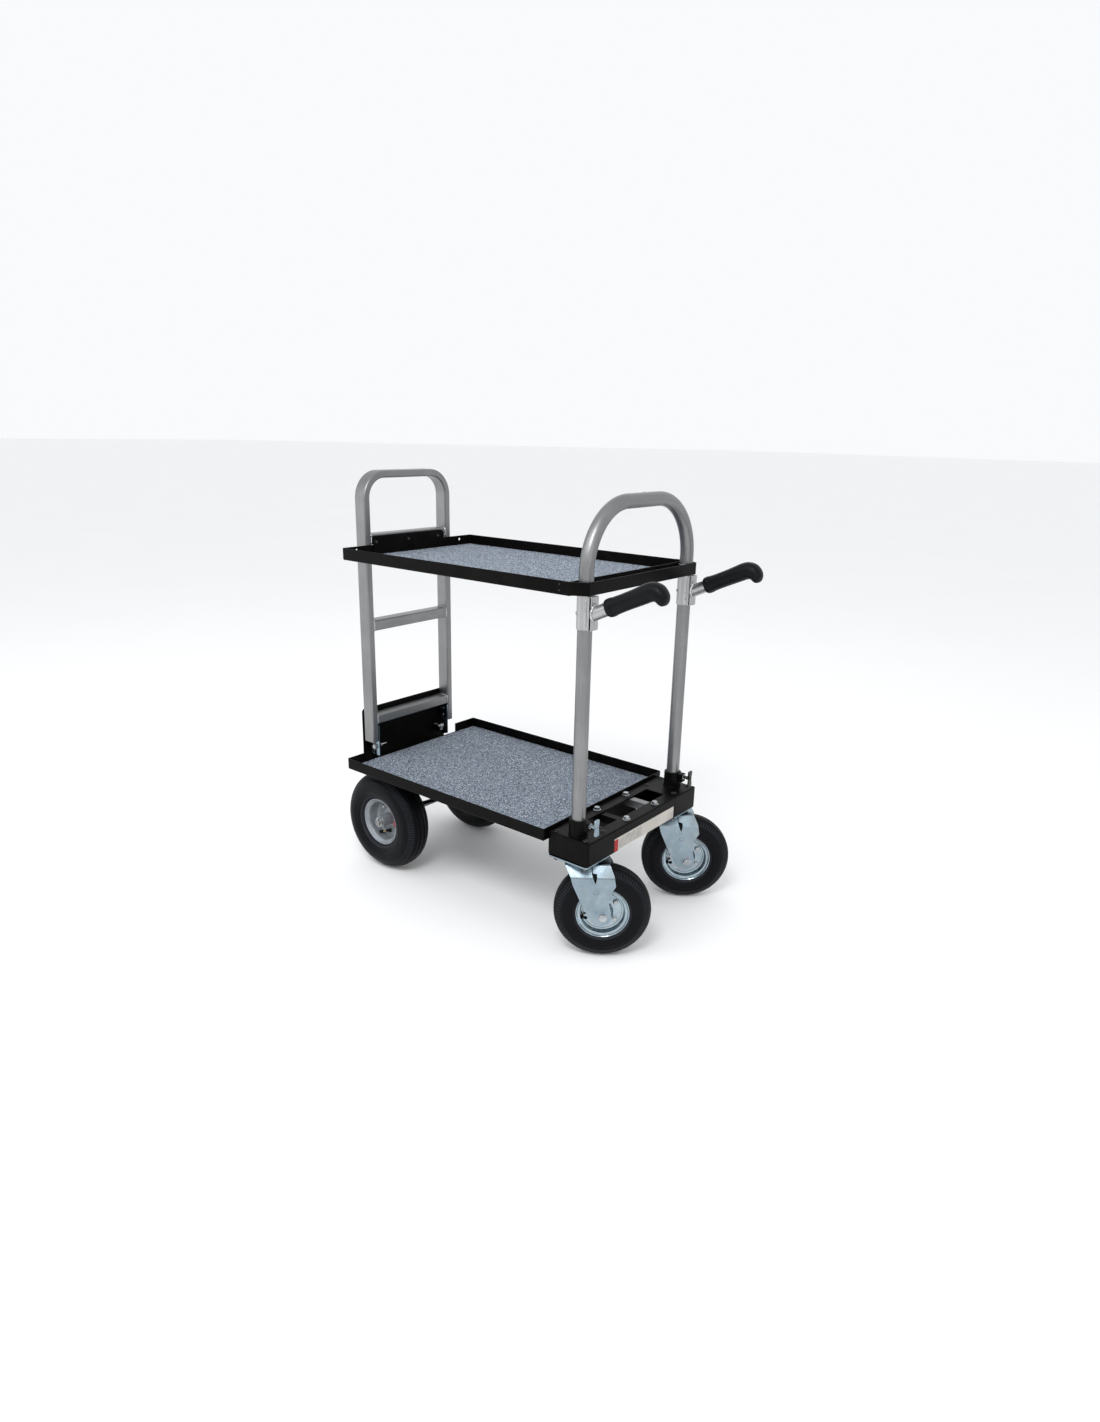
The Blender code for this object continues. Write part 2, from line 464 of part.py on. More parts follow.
# ------------------------------------------------------------------ swivel casters
ROT_CASTER = (math.pi / 2, 0, CASTER_YAW)   # local x along the trail, y up, z along the wheel axle
for side, s in SIDES:
    swivel = (SWIVEL_X, s * SWIVEL_Y, 0)
    trail = (math.cos(CASTER_YAW) * CASTER_TRAIL, math.sin(CASTER_YAW) * CASTER_TRAIL)
    hub = (SWIVEL_X + trail[0], s * SWIVEL_Y + trail[1], CASTER_R)
    # mounting plate with the raceway, king pin and king nut
    top = BOX_Z0 - GAP
    plate = box_part("caster_plate_" + side, (SWIVEL_X - 0.0545, s * SWIVEL_Y - 0.0455, top - 0.0038),
                     (SWIVEL_X + 0.0545, s * SWIVEL_Y + 0.0455, top), ZINC)
    profile = [(0.0, top - 0.0010), (0.0330, top - 0.0010), (0.0350, FORK_CROWN_Z + 0.0035),
               (0.0320, FORK_CROWN_Z + GAP), (0.0070, FORK_CROWN_Z + GAP), (0.0070, 0.2310),
               (0.0105, 0.2310), (0.0105, 0.2250), (0.0, 0.2250)]
    head = lathe("add_raceway_" + side, profile, None, swivel, (0, 0, 0), ROUND_STEPS, closed=False, own=cutter)
    boolean(plate, head, "UNION")
    # pressed fork: a bent sheet with sloped shoulders, trimmed to the side outline
    section = [(-FORK_S, 0.080), (-FORK_S, 0.2065), (-0.0400, 0.2135), (-0.0250, FORK_CROWN_Z),
               (0.0250, FORK_CROWN_Z), (0.0400, 0.2135), (FORK_S, 0.2065), (FORK_S, 0.080)]
    bm = bmesh.new()
    rows = [[bm.verts.new((t, z, w)) for w, z in section] for t in (-0.045, 0.095)]
    for a, b, c, d in zip(rows[0], rows[0][1:], rows[1][1:], rows[1]):
        bm.faces.new((a, b, c, d))
    bmesh.ops.recalc_face_normals(bm, faces=bm.faces)
    me = bpy.data.meshes.new("fork_" + side)
    # outward faces look away from the wheel
    if sum(f.normal.y for f in bm.faces if abs(f.normal.y) > 0.9) < 0:
        bmesh.ops.reverse_faces(bm, faces=bm.faces)
    bm.to_mesh(me)
    bm.free()
    fork = place(bpy.data.objects.new("fork_" + side, me), ZINC, swivel, ROT_CASTER)
    mod = fork.modifiers.new("sheet", "SOLIDIFY")
    mod.thickness, mod.offset, mod.use_even_offset = FORK_T, -1.0, True
    side_view = [(-0.0330, 0.2500), (-0.0320, 0.2340), (-0.0175, 0.2085), (-0.0134, 0.1914), (0.0033, 0.1534),
                 (0.0220, 0.1151), (0.0290, 0.1000), (0.0400, 0.0925), (0.0600, 0.0910), (0.0700, 0.0970),
                 (0.0750, 0.1100), (0.0725, 0.1300), (0.0690, 0.1530), (0.0765, 0.1775), (0.0840, 0.1889),
                 (0.0810, 0.2120), (0.0690, 0.2360), (0.0680, 0.2500)]
    trim = cutter(bpy.data.objects.new("trim_fork_" + side, outline_mesh("trim_fork_" + side, side_view, 0.070)),
                  swivel, ROT_CASTER)
    boolean(fork, trim, "INTERSECT")
    slit = outline_mesh("cut_slit_" + side, [(0.0265, 0.2300), (0.0295, 0.2300), (0.0395, 0.2165),
                                             (0.0380, 0.1935), (0.0290, 0.2165)], 0.070)
    boolean(fork, cutter(bpy.data.objects.new("cut_slit_" + side, slit), swivel, ROT_CASTER))
    boolean(fork, cylinder_cutter("cut_king_" + side, 0.0073, 0.20, 0.26, swivel))
    boolean(fork, cylinder_cutter("cut_axle_" + side, 0.0063, -0.08, 0.08, hub, ROT_CASTER, steps=16))
    # axle bolt with a head and a nut
    profile = [(0.0, 0.0500), (0.0085, 0.0500), (0.0092, 0.0490), (0.0092, 0.0437), (0.0060, 0.0437),
               (0.0060, -0.0437), (0.0092, -0.0437), (0.0092, -0.0490), (0.0085, -0.0500), (0.0, -0.0500)]
    lathe("caster_axle_" + side, profile, ZINC, hub, ROT_CASTER, 16, closed=False)
    lathe("caster_tyre_" + side, CASTER_TYRE, RUBBER, hub, ROT_CASTER, TYRE_STEPS)
    lathe("caster_rim_" + side, CASTER_RIM, ZINC, hub, ROT_CASTER, RIM_STEPS)

# ------------------------------------------------------------------ ladder frame
outer = ([(-LAD_Y, LAD_Z0)] + arc(-LAD_Y + LAD_R, LAD_Z1 - LAD_R, LAD_R, 180, 90, 7)
         + arc(LAD_Y - LAD_R, LAD_Z1 - LAD_R, LAD_R, 90, 0, 7) + [(LAD_Y, LAD_Z0)])
ri = LAD_R - LAD_W
inner = ([(LAD_Y - LAD_W, LAD_Z0)] + arc(LAD_Y - LAD_R, LAD_Z1 - LAD_R, ri, 0, 90, 7)
         + arc(-LAD_Y + LAD_R, LAD_Z1 - LAD_R, ri, 90, 180, 7) + [(-LAD_Y + LAD_W, LAD_Z0)])
ladder = place(bpy.data.objects.new("ladder_frame", outline_mesh(
    "ladder_frame", outer + inner, (LAD_X1 - LAD_X0) / 2)), ALU, ((LAD_X0 + LAD_X1) / 2, 0, 0), ROT_YZ)
for rung, (z0, z1) in RUNGS.items():
    y = LAD_Y - LAD_W - GAP
    box_part("ladder_rung_" + rung, (RUNG_X0, -y, z0), (RUNG_X1, y, z1), ALU, 0.0015)
for side, s in SIDES:
    # zinc foot plate inside each post; its open slot drops over the foot bolt
    pts = [(-0.1055, 0.2885), (FOOT_BOLT_X - 0.0045, 0.2885), (FOOT_BOLT_X - 0.0045, FOOT_BOLT_Z)]
    pts += arc(FOOT_BOLT_X, FOOT_BOLT_Z, 0.0045, 180, 0, 6)[1:-1]
    pts += [(FOOT_BOLT_X + 0.0045, FOOT_BOLT_Z), (FOOT_BOLT_X + 0.0045, 0.2885), (-0.0722, 0.2885),
            (-0.0722, 0.3760), (-0.1055, 0.3760)]
    y = s * 0.1312
    place(bpy.data.objects.new("ladder_foot_" + side, outline_mesh("ladder_foot_" + side, pts, 0.0014)), ZINC,
          (0, y, 0), ROT_XZ)

# ------------------------------------------------------------------ upper tray
pan("upper_tray", (UT_X0, -UT_Y, UT_Z0), (UT_X1, UT_Y, UT_Z1), SHEET, BLACK)
box_part("upper_carpet",
         (UT_X0 + SHEET + GAP, -UT_Y + SHEET + GAP, UT_Z0 + SHEET + GAP),
         (UT_X1 - SHEET - GAP, UT_Y - SHEET - GAP, UT_Z0 + SHEET + GAP + 0.0036), CARPET)
# flat hook plate, bolted through the rear rim to the ladder's top rung
hx = UT_X0 + SHEET + GAP
pts = ([(-0.1320, 0.8430), (0.1200, 0.8430)] + arc(0.1080, 0.8770, 0.0120, 0, 90, 5) + [(-0.1320, 0.8890)])
place(bpy.data.objects.new("hook_plate", outline_mesh("hook_plate", pts, 0.0012)), BLACK,
      (hx + 0.0012, 0, 0), ROT_YZ)
# end strap: a bent flat bar round both posts, fixed to the tray's sides
path = [(0.6160, -0.2322), (0.6493, -0.2322), (0.6800, -0.2148), (STRAP_X, -0.2085), (STRAP_X, 0.2085),
        (0.6800, 0.2148), (0.6493, 0.2322), (0.6160, 0.2322)]
bm = bmesh.new()
lower = [bm.verts.new((x, y, STRAP_Z0)) for x, y in path]
upper = [bm.verts.new((x, y, UT_Z1)) for x, y in path]
for a, b, c, d in zip(lower, lower[1:], upper[1:], upper):
    bm.faces.new((a, b, c, d))
me = bpy.data.meshes.new("end_strap")
bm.to_mesh(me)
bm.free()
strap = place(bpy.data.objects.new("end_strap", me), BLACK)
mod = strap.modifiers.new("sheet", "SOLIDIFY")
mod.thickness, mod.offset, mod.use_even_offset = STRAP_T, -1.0, True

# ------------------------------------------------------------------ push loop
rc, zc = LOOP_BEND, LOOP_TOP - POST_R - LOOP_BEND
route = ([(-POST_Y, LOOP_Z0), (-POST_Y, 0.56)] + arc(-POST_Y + rc, zc, rc, 180, 90, 9)
         + arc(POST_Y - rc, zc, rc, 90, 0, 9) + [(POST_Y, 0.56), (POST_Y, LOOP_Z0)])
loop = bpy.data.objects.new("push_loop", tube_curve(
    "push_loop", [(POST_X, y, z) for y, z in route], POST_R, caps=False, resolution=4))
place(loop, ALU)
mod = loop.modifiers.new("wall", "SOLIDIFY")
mod.thickness, mod.offset, mod.use_even_offset = POST_WALL, -1.0, True

# ------------------------------------------------------------------ push handles
ca, sa = math.cos(HANDLE_TILT), math.sin(HANDLE_TILT)
ROT_GRIP = (0, math.pi / 2 - HANDLE_TILT, 0)        # local z along the handle's axis
for side, s in SIDES:
    y = s * POST_Y
    sleeve = place(bpy.data.objects.new("handle_" + side, cylinder_mesh(
        "handle_" + side, SLEEVE_R, SLEEVE_Z0, SLEEVE_Z1)), ALU, (POST_X, y, 0))
    boolean(sleeve, box_cutter("add_block_" + side, (POST_X + 0.004, y - 0.0130, SLEEVE_Z0),
                               (POST_X + 0.0245, y + 0.0130, SLEEVE_Z1 - 0.0060)), "UNION")
    # the tube's axis passes through the grip's start
    boolean(sleeve, cylinder_cutter("add_tube_" + side, HTUBE_R, -0.0450, 0.0760, (GRIP_X, y, GRIP_Z), ROT_GRIP),
            "UNION")
    boolean(sleeve, cylinder_cutter("cut_sleeve_" + side, SLEEVE_BORE, SLEEVE_Z0 - 0.02, SLEEVE_Z1 + 0.02,
                                    (POST_X, y, 0)))
    # soft grip: a straight barrel, a swollen palm and a turned-down end
    grip = place(bpy.data.objects.new("grip_" + side, cylinder_mesh(
        "grip_" + side, GRIP_R, 0.0, 0.1020, 16)), VINYL, (GRIP_X, y, GRIP_Z), ROT_GRIP)
    for k, (x, z, r) in enumerate(((0.8270, 0.8640, 0.0205), (0.8455, 0.8560, 0.0170))):
        bm = bmesh.new()
        bmesh.ops.create_uvsphere(bm, u_segments=12, v_segments=8, radius=r)
        me = bpy.data.meshes.new("ball")
        bm.to_mesh(me)
        bm.free()
        boolean(grip, cutter(bpy.data.objects.new("add_palm_%s_%d" % (side, k), me), (x, y, z),
                             (0.0, 0.1 + 0.2 * k, 0.0)), "UNION")
    boolean(grip, cylinder_cutter("cut_grip_" + side, GRIP_BORE, -0.02, 0.0768, (GRIP_X, y, GRIP_Z), ROT_GRIP))
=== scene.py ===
"""Looks of the two-shelf rolling cart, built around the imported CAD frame.

Every piece is modelled in the cart's own frame (X = 0 at the rear axle, Y = 0 on the centre plane, Z = 0 on the
floor), which is found from the CAD rear axle, and then moved to the row frame.
"""
import json
import math

import bmesh
import bpy
import numpy as np
from mathutils import Matrix, Vector, noise

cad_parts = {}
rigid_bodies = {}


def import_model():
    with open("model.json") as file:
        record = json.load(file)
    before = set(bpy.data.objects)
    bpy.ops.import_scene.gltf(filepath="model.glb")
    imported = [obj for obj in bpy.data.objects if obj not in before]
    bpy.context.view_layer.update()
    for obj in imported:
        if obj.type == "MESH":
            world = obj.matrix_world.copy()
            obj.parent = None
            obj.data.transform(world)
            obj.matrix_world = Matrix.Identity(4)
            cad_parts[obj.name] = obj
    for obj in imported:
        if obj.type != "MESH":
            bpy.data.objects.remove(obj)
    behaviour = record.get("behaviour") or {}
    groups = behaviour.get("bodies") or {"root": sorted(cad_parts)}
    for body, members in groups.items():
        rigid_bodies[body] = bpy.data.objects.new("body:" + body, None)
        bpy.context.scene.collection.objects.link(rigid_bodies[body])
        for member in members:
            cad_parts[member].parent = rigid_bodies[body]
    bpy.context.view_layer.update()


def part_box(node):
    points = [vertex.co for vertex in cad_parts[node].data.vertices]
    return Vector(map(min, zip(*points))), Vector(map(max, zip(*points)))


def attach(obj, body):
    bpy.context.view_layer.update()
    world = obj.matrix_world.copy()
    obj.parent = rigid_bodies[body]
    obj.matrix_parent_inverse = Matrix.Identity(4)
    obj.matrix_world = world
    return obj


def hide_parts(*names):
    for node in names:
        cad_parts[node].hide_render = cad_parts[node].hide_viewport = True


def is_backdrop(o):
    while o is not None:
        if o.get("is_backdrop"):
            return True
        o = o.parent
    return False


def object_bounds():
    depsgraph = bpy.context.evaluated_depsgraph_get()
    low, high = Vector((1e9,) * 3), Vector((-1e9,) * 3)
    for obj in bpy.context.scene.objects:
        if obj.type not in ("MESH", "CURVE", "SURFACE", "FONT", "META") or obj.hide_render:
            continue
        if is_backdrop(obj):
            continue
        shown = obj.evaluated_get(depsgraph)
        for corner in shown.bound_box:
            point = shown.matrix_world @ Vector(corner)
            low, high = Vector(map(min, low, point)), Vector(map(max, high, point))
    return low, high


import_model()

_lo, _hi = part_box("rear_axle")
AXLE = (_lo + _hi) / 2                       # middle of the rear axle
SHIFT = Vector((AXLE.x, AXLE.y, 0.0))
AXLE_Z = AXLE.z
SIDES = (("near", -1.0), ("far", 1.0))
X, Y, Z = Vector((1, 0, 0)), Vector((0, 1, 0)), Vector((0, 0, 1))


def box(node):
    """A CAD node's corners in the cart's frame."""
    lo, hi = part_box(node)
    return lo - SHIFT, hi - SHIFT


# ================================================================== materials
class Nodes:
    """Short-hand for a material's node tree."""

    def __init__(self, name):
        self.mat = bpy.data.materials.new(name)
        self.mat.use_nodes = True
        self.t = self.mat.node_tree
        self.bsdf = self.t.nodes["Principled BSDF"]
        self.coord = self.t.nodes.new("ShaderNodeTexCoord").outputs["Object"]

    def node(self, kind, **settings):
        n = self.t.nodes.new(kind)
        for k, v in settings.items():
            setattr(n, k, v)
        return n

    def link(self, a, b):
        self.t.links.new(a, b)

    def mapped(self, scale):
        m = self.node("ShaderNodeMapping")
        m.inputs["Scale"].default_value = scale
        self.link(self.coord, m.inputs["Vector"])
        return m.outputs["Vector"]

    def noise(self, scale, detail=3.0, rough=0.55, vector=None, distortion=0.0):
        n = self.node("ShaderNodeTexNoise")
        n.inputs["Scale"].default_value = scale
        n.inputs["Detail"].default_value = detail
        n.inputs["Roughness"].default_value = rough
        n.inputs["Distortion"].default_value = distortion
        self.link(self.coord if vector is None else vector, n.inputs["Vector"])
        return n.outputs["Fac"]

    def voronoi(self, scale, feature="F1", vector=None, out="Distance"):
        n = self.node("ShaderNodeTexVoronoi", feature=feature)
        n.inputs["Scale"].default_value = scale
        self.link(self.coord if vector is None else vector, n.inputs["Vector"])
        return n.outputs[out]

    def ramp(self, value, stops, interpolation="LINEAR"):
        n = self.node("ShaderNodeValToRGB")
        n.color_ramp.interpolation = interpolation
        e = n.color_ramp.elements
        while len(e) < len(stops):
            e.new(0.5)
        for el, (p, c) in zip(e, stops):
            el.position = p
            el.color = (*c, 1.0) if hasattr(c, "__len__") else (c, c, c, 1.0)
        self.link(value, n.inputs["Fac"])
        return n.outputs["Color"]

    def range(self, value, lo, hi, a=0.0, b=1.0):
        n = self.node("ShaderNodeMapRange")
        for key, v in (("From Min", a), ("From Max", b), ("To Min", lo), ("To Max", hi)):
            n.inputs[key].default_value = v
        self.link(value, n.inputs["Value"])
        return n.outputs["Result"]

    def mix(self, a, b, fac, mode="MIX"):
        n = self.node("ShaderNodeMix", data_type="RGBA", blend_type=mode)
        for sock, v in ((n.inputs[0], fac), (n.inputs[6], a), (n.inputs[7], b)):
            if isinstance(v, (int, float)):
                sock.default_value = v
            elif hasattr(v, "__len__"):
                sock.default_value = (*v, 1.0)
            else:
                self.link(v, sock)
        return n.outputs[2]

    def math(self, op, a, b=0.0):
        n = self.node("ShaderNodeMath", operation=op)
        for sock, v in ((n.inputs[0], a), (n.inputs[1], b)):
            if isinstance(v, (int, float)):
                sock.default_value = v
            else:
                self.link(v, sock)
        return n.outputs[0]

    def bump(self, height, distance, strength=1.0, under=None):
        n = self.node("ShaderNodeBump")
        n.inputs["Distance"].default_value = distance
        n.inputs["Strength"].default_value = strength
        self.link(height, n.inputs["Height"])
        if under is not None:
            self.link(under, n.inputs["Normal"])
        return n.outputs["Normal"]

    def done(self, colour=None, rough=None, normal=None, metallic=None, **sockets):
        b = self.bsdf.inputs
        for key, v in (("Base Color", colour), ("Roughness", rough), ("Normal", normal), ("Metallic", metallic)):
            if v is None:
                continue
            if isinstance(v, (int, float)):
                b[key].default_value = v
            elif hasattr(v, "__len__"):
                b[key].default_value = (*v, 1.0)
            else:
                self.link(v, b[key])
        for key, v in sockets.items():
            b[key.replace("_", " ")].default_value = v
        return self.mat


def aluminium(name, along, light=(0.262, 0.264, 0.264), dark=(0.190, 0.191, 0.192), rough=(0.33, 0.44)):
    """Satin extruded aluminium: fine drawing lines along one axis, handling marks and a soft oxide bloom."""
    n = Nodes(name)
    stretch = [760.0, 760.0, 760.0]
    stretch[along] = 7.0
    lines = n.noise(1.0, 5.0, 0.75, n.mapped(stretch))
    bloom = n.noise(11.0, 4.0, 0.55)
    smudge = n.noise(55.0, 3.0, 0.6, distortion=0.6)
    scratch_map = [60.0, 60.0, 60.0]
    scratch_map[along] = 260.0
    scratch = n.ramp(n.noise(1.0, 2.0, 0.5, n.mapped(scratch_map)), [(0.68, 0.0), (0.72, 1.0)])
    col = n.mix(dark, light, n.range(lines, 0.0, 1.0, 0.32, 0.68))
    col = n.mix(col, tuple(1.16 * v for v in light), n.range(bloom, 0.0, 0.5, 0.45, 0.75))
    col = n.mix(col, tuple(0.70 * v for v in dark), n.math("MULTIPLY", scratch, 0.35))
    r = n.range(n.math("ADD", n.math("MULTIPLY", lines, 0.5), n.math("MULTIPLY", smudge, 0.5)),
                rough[0], rough[1], 0.3, 0.7)
    nrm = n.bump(lines, 0.00010, 0.35)
    nrm = n.bump(smudge, 0.0003, 0.10, nrm)
    return n.done(col, r, nrm, 1.0, IOR=1.45)


def powder(name, base=(0.0022, 0.0020, 0.0018), rough=(0.28, 0.42)):
    """Semi-gloss black powder coat with its orange peel, dust and rubbed marks."""
    n = Nodes(name)
    peel = n.noise(950.0, 2.0, 0.5)
    wave = n.noise(160.0, 2.0, 0.5)
    dust = n.noise(24.0, 5.0, 0.65)
    specks = n.ramp(n.noise(1500.0, 1.0, 0.5), [(0.70, 0.0), (0.78, 1.0)])
    rub = n.ramp(n.noise(1.0, 3.0, 0.6, n.mapped((30.0, 210.0, 30.0))), [(0.60, 0.0), (0.74, 1.0)])
    col = n.mix(base, (0.0065, 0.0058, 0.0052), n.range(dust, 0.0, 0.8, 0.48, 0.80))
    col = n.mix(col, (0.022, 0.020, 0.019), n.math("MULTIPLY", specks, 0.30))
    r = n.range(dust, rough[0], rough[1], 0.30, 0.72)
    r = n.math("ADD", r, n.math("MULTIPLY", rub, 0.07))
    nrm = n.bump(peel, 0.00010, 0.45)
    nrm = n.bump(wave, 0.00025, 0.25, nrm)
    return n.done(col, r, nrm, 0.0, IOR=1.50, Specular_IOR_Level=0.055)


def zinc(name, light=(0.300, 0.372, 0.420), dark=(0.200, 0.262, 0.306), warm=(0.290, 0.298, 0.285), rough=(0.17, 0.27)):
    """Clear-passivated zinc plate: bluish, with cloudy and faintly yellow patches."""
    n = Nodes(name)
    cloud = n.noise(30.0, 4.0, 0.55, distortion=0.4)
    patch = n.noise(14.0, 3.0, 0.5)
    grain = n.noise(900.0, 2.0, 0.5)
    spang = n.voronoi(130.0, vector=None, out="Color")
    col = n.mix(dark, light, n.range(cloud, 0.0, 1.0, 0.28, 0.68))
    col = n.mix(col, warm, n.range(patch, 0.0, 0.40, 0.52, 0.78))
    col = n.mix(col, spang, 0.02)
    r = n.range(cloud, rough[0], rough[1], 0.3, 0.7)
    r = n.math("ADD", r, n.math("MULTIPLY", grain, 0.05))
    nrm = n.bump(grain, 0.00008, 0.35)
    nrm = n.bump(cloud, 0.0004, 0.08, nrm)
    return n.done(col, r, nrm, 1.0, IOR=1.45)


def carpet_cloth():
    """Short speckled loop carpet in blue greys."""
    n = Nodes("shelf_carpet")
    tuft = n.voronoi(520.0, out="Color")
    sep = n.node("ShaderNodeSeparateColor")
    n.link(tuft, sep.inputs[0])
    speck = n.ramp(sep.outputs[0], [(0.0, (0.018, 0.024, 0.040)), (0.20, (0.046, 0.060, 0.090)),
                                    (0.42, (0.112, 0.140, 0.186)), (0.66, (0.218, 0.262, 0.325)),
                                    (0.88, (0.460, 0.520, 0.590)), (1.0, (0.800, 0.850, 0.900))])
    fibre = n.noise(2200.0, 3.0, 0.6)
    drift = n.noise(9.0, 4.0, 0.6)
    lint = n.ramp(n.noise(430.0, 2.0, 0.6), [(0.64, 0.0), (0.72, 1.0)])
    col = n.mix(speck, (0.175, 0.215, 0.275), 0.14)
    col = n.mix(col, n.ramp(fibre, [(0.30, 0.35), (0.70, 1.0)]), 0.35, "MULTIPLY")
    col = n.mix(col, (0.30, 0.345, 0.40), n.range(drift, 0.0, 0.10, 0.40, 0.75))
    col = n.mix(col, (0.72, 0.75, 0.78), n.math("MULTIPLY", lint, 0.42))
    dome = n.voronoi(520.0)
    nrm = n.bump(n.math("SUBTRACT", 1.0, dome), 0.0010, 0.75)
    nrm = n.bump(fibre, 0.0004, 0.6, nrm)
    return n.done(col, 0.96, nrm, 0.0, Sheen_Weight=0.10, Sheen_Roughness=0.5, Specular_IOR_Level=0.10)


def rubber(name, base=(0.0016, 0.0018, 0.0027), dusty=(0.0058, 0.0060, 0.0072), rough=(0.38, 0.54)):
    """Moulded tyre rubber with a bluish tint in its base colour, a painted sky reflection, road dust in patches and
    mould texture.
    """
    n = Nodes(name)
    patch = n.noise(20.0, 5.0, 0.65)
    fine = n.noise(1100.0, 3.0, 0.6)
    scuff = n.ramp(n.noise(70.0, 4.0, 0.7, distortion=1.2), [(0.58, 0.0), (0.78, 1.0)])
    col = n.mix(base, dusty, n.range(patch, 0.0, 0.40, 0.50, 0.85))
    col = n.mix(col, (0.016, 0.016, 0.018), n.math("MULTIPLY", scuff, 0.22))
    r = n.range(patch, rough[0], rough[1], 0.3, 0.7)
    nrm = n.bump(fine, 0.00018, 0.45)
    nrm = n.bump(patch, 0.0008, 0.08, nrm)
    return n.done(col, r, nrm, 0.0, IOR=1.50, Specular_IOR_Level=0.11)


def vinyl():
    """Soft black grip vinyl: fine pebble, a satin bluish sheen and palm polish."""
    n = Nodes("grip_vinyl_moulded")
    pebble = n.voronoi(900.0)
    hand = n.noise(30.0, 4.0, 0.6)
    col = n.mix((0.0016, 0.0018, 0.0028), (0.0046, 0.0050, 0.0068), n.range(hand, 0.0, 1.0, 0.42, 0.78))
    r = n.range(hand, 0.34, 0.48, 0.3, 0.7)
    nrm = n.bump(pebble, 0.00014, 0.35)
    nrm = n.bump(n.noise(420.0, 2.0), 0.0002, 0.25, nrm)
    return n.done(col, r, nrm, 0.0, IOR=1.48, Sheen_Weight=0.012, Sheen_Roughness=0.4, Specular_IOR_Level=0.14)


def rim_paint():
    """Grey rim enamel with chips and patches of dark dust."""
    n = Nodes("rim_enamel")
    peel = n.noise(620.0, 2.0, 0.5)
    cloud = n.noise(34.0, 4.0, 0.6)
    chip = n.ramp(n.noise(420.0, 3.0, 0.6), [(0.72, 0.0), (0.745, 1.0)])
    dirt = n.ramp(n.noise(130.0, 5.0, 0.7), [(0.55, 0.0), (0.80, 1.0)])
    col = n.mix((0.185, 0.203, 0.222), (0.265, 0.285, 0.305), n.range(cloud, 0.0, 1.0, 0.35, 0.65))
    col = n.mix(col, (0.055, 0.052, 0.052), n.math("MULTIPLY", dirt, 0.35))
    col = n.mix(col, (0.040, 0.034, 0.030), n.math("MULTIPLY", chip, 0.55))
    r = n.range(cloud, 0.26, 0.40, 0.3, 0.7)
    nrm = n.bump(peel, 0.00014, 0.40)
    nrm = n.bump(chip, 0.0001, 0.5, nrm)
    return n.done(col, r, nrm, 0.30, IOR=1.50, Specular_IOR_Level=0.35)


def simple(name, a, b, rough, metallic, scale=60.0, bump=0.0001, **sockets):
    n = Nodes(name)
    cloud = n.noise(scale, 4.0, 0.6)
    fine = n.noise(1300.0, 2.0, 0.5)
    col = n.mix(a, b, n.range(cloud, 0.0, 1.0, 0.35, 0.68))
    r = n.range(cloud, rough[0], rough[1], 0.3, 0.7)
    return n.done(col, r, n.bump(fine, bump, 0.35), metallic, **sockets)


def weld_metal():
    """Bright TIG weld: glossy ripples with tinted soot in patches."""
    n = Nodes("weld_bright")
    rip = n.noise(520.0, 3.0, 0.6)
    soot = n.noise(110.0, 4.0, 0.65)
    col = n.mix((0.52, 0.52, 0.53), (0.22, 0.22, 0.23), n.range(soot, 0.0, 1.0, 0.48, 0.80))
    r = n.range(rip, 0.16, 0.36, 0.3, 0.7)
    return n.done(col, r, n.bump(rip, 0.0004, 0.6), 1.0)


ALU_X = aluminium("satin_aluminium_x", 0)
ALU_Y = aluminium("satin_aluminium_y", 1)
ALU_Z = aluminium("satin_aluminium_z", 2)
# Cross bar: its beige tint is its own, but its brightness, about twice the other aluminium, is painted light for a bar
# that sits in shade
ALU_BAR_PAINTED_LIGHT = aluminium("cross_bar_aluminium_painted_light", 1, light=(0.62, 0.585, 0.54), dark=(0.40, 0.375, 0.345))
CAST = aluminium("sleeve_aluminium", 2, light=(0.47, 0.472, 0.475), dark=(0.35, 0.352, 0.356), rough=(0.26, 0.40))
BLACK = powder("powder_coat_black")
ZINC = zinc("bright_zinc_plate")
ZINC_DULL = zinc("zinc_fastener", (0.52, 0.54, 0.55), (0.27, 0.29, 0.31), (0.44, 0.42, 0.38), (0.20, 0.32))
RIM_ZINC = zinc("rim_zinc_plate", (0.40, 0.475, 0.515), (0.235, 0.300, 0.345), (0.37, 0.38, 0.355), (0.11, 0.20))
# near-black zinc: the colour of the end strap's screw heads, and painted shade on the far lock screw
ZINC_DARK_AND_SHADE = zinc("dark_zinc_and_painted_shade", (0.050, 0.050, 0.052), (0.022, 0.023, 0.025), (0.046, 0.043, 0.040), (0.28, 0.42))
CARPET = carpet_cloth()
RUBBER = rubber("tyre_rubber_moulded")
# paler rubber for the sipes' floors: a painted highlight
RUBBER_SIPE_HIGHLIGHT = rubber("tyre_rubber_sipe_painted_highlight", (0.016, 0.018, 0.023), (0.050, 0.052, 0.058))
VINYL = vinyl()
RIM = rim_paint()
WELD = weld_metal()
STEEL = simple("axle_steel_ground", (0.22, 0.22, 0.22), (0.34, 0.34, 0.35), (0.26, 0.42), 1.0)
DARK_STEEL = simple("black_oxide_bolt", (0.008, 0.008, 0.009), (0.024, 0.023, 0.022), (0.28, 0.46), 0.35, Specular_IOR_Level=0.25)
RED = simple("red_plastic", (0.26, 0.006, 0.010), (0.36, 0.020, 0.018), (0.30, 0.45), 0.0, IOR=1.46, Specular_IOR_Level=0.25)
RED_FOIL = simple("red_foil_label", (0.28, 0.010, 0.018), (0.40, 0.070, 0.066), (0.35, 0.50), 0.0, 260.0, IOR=1.46)
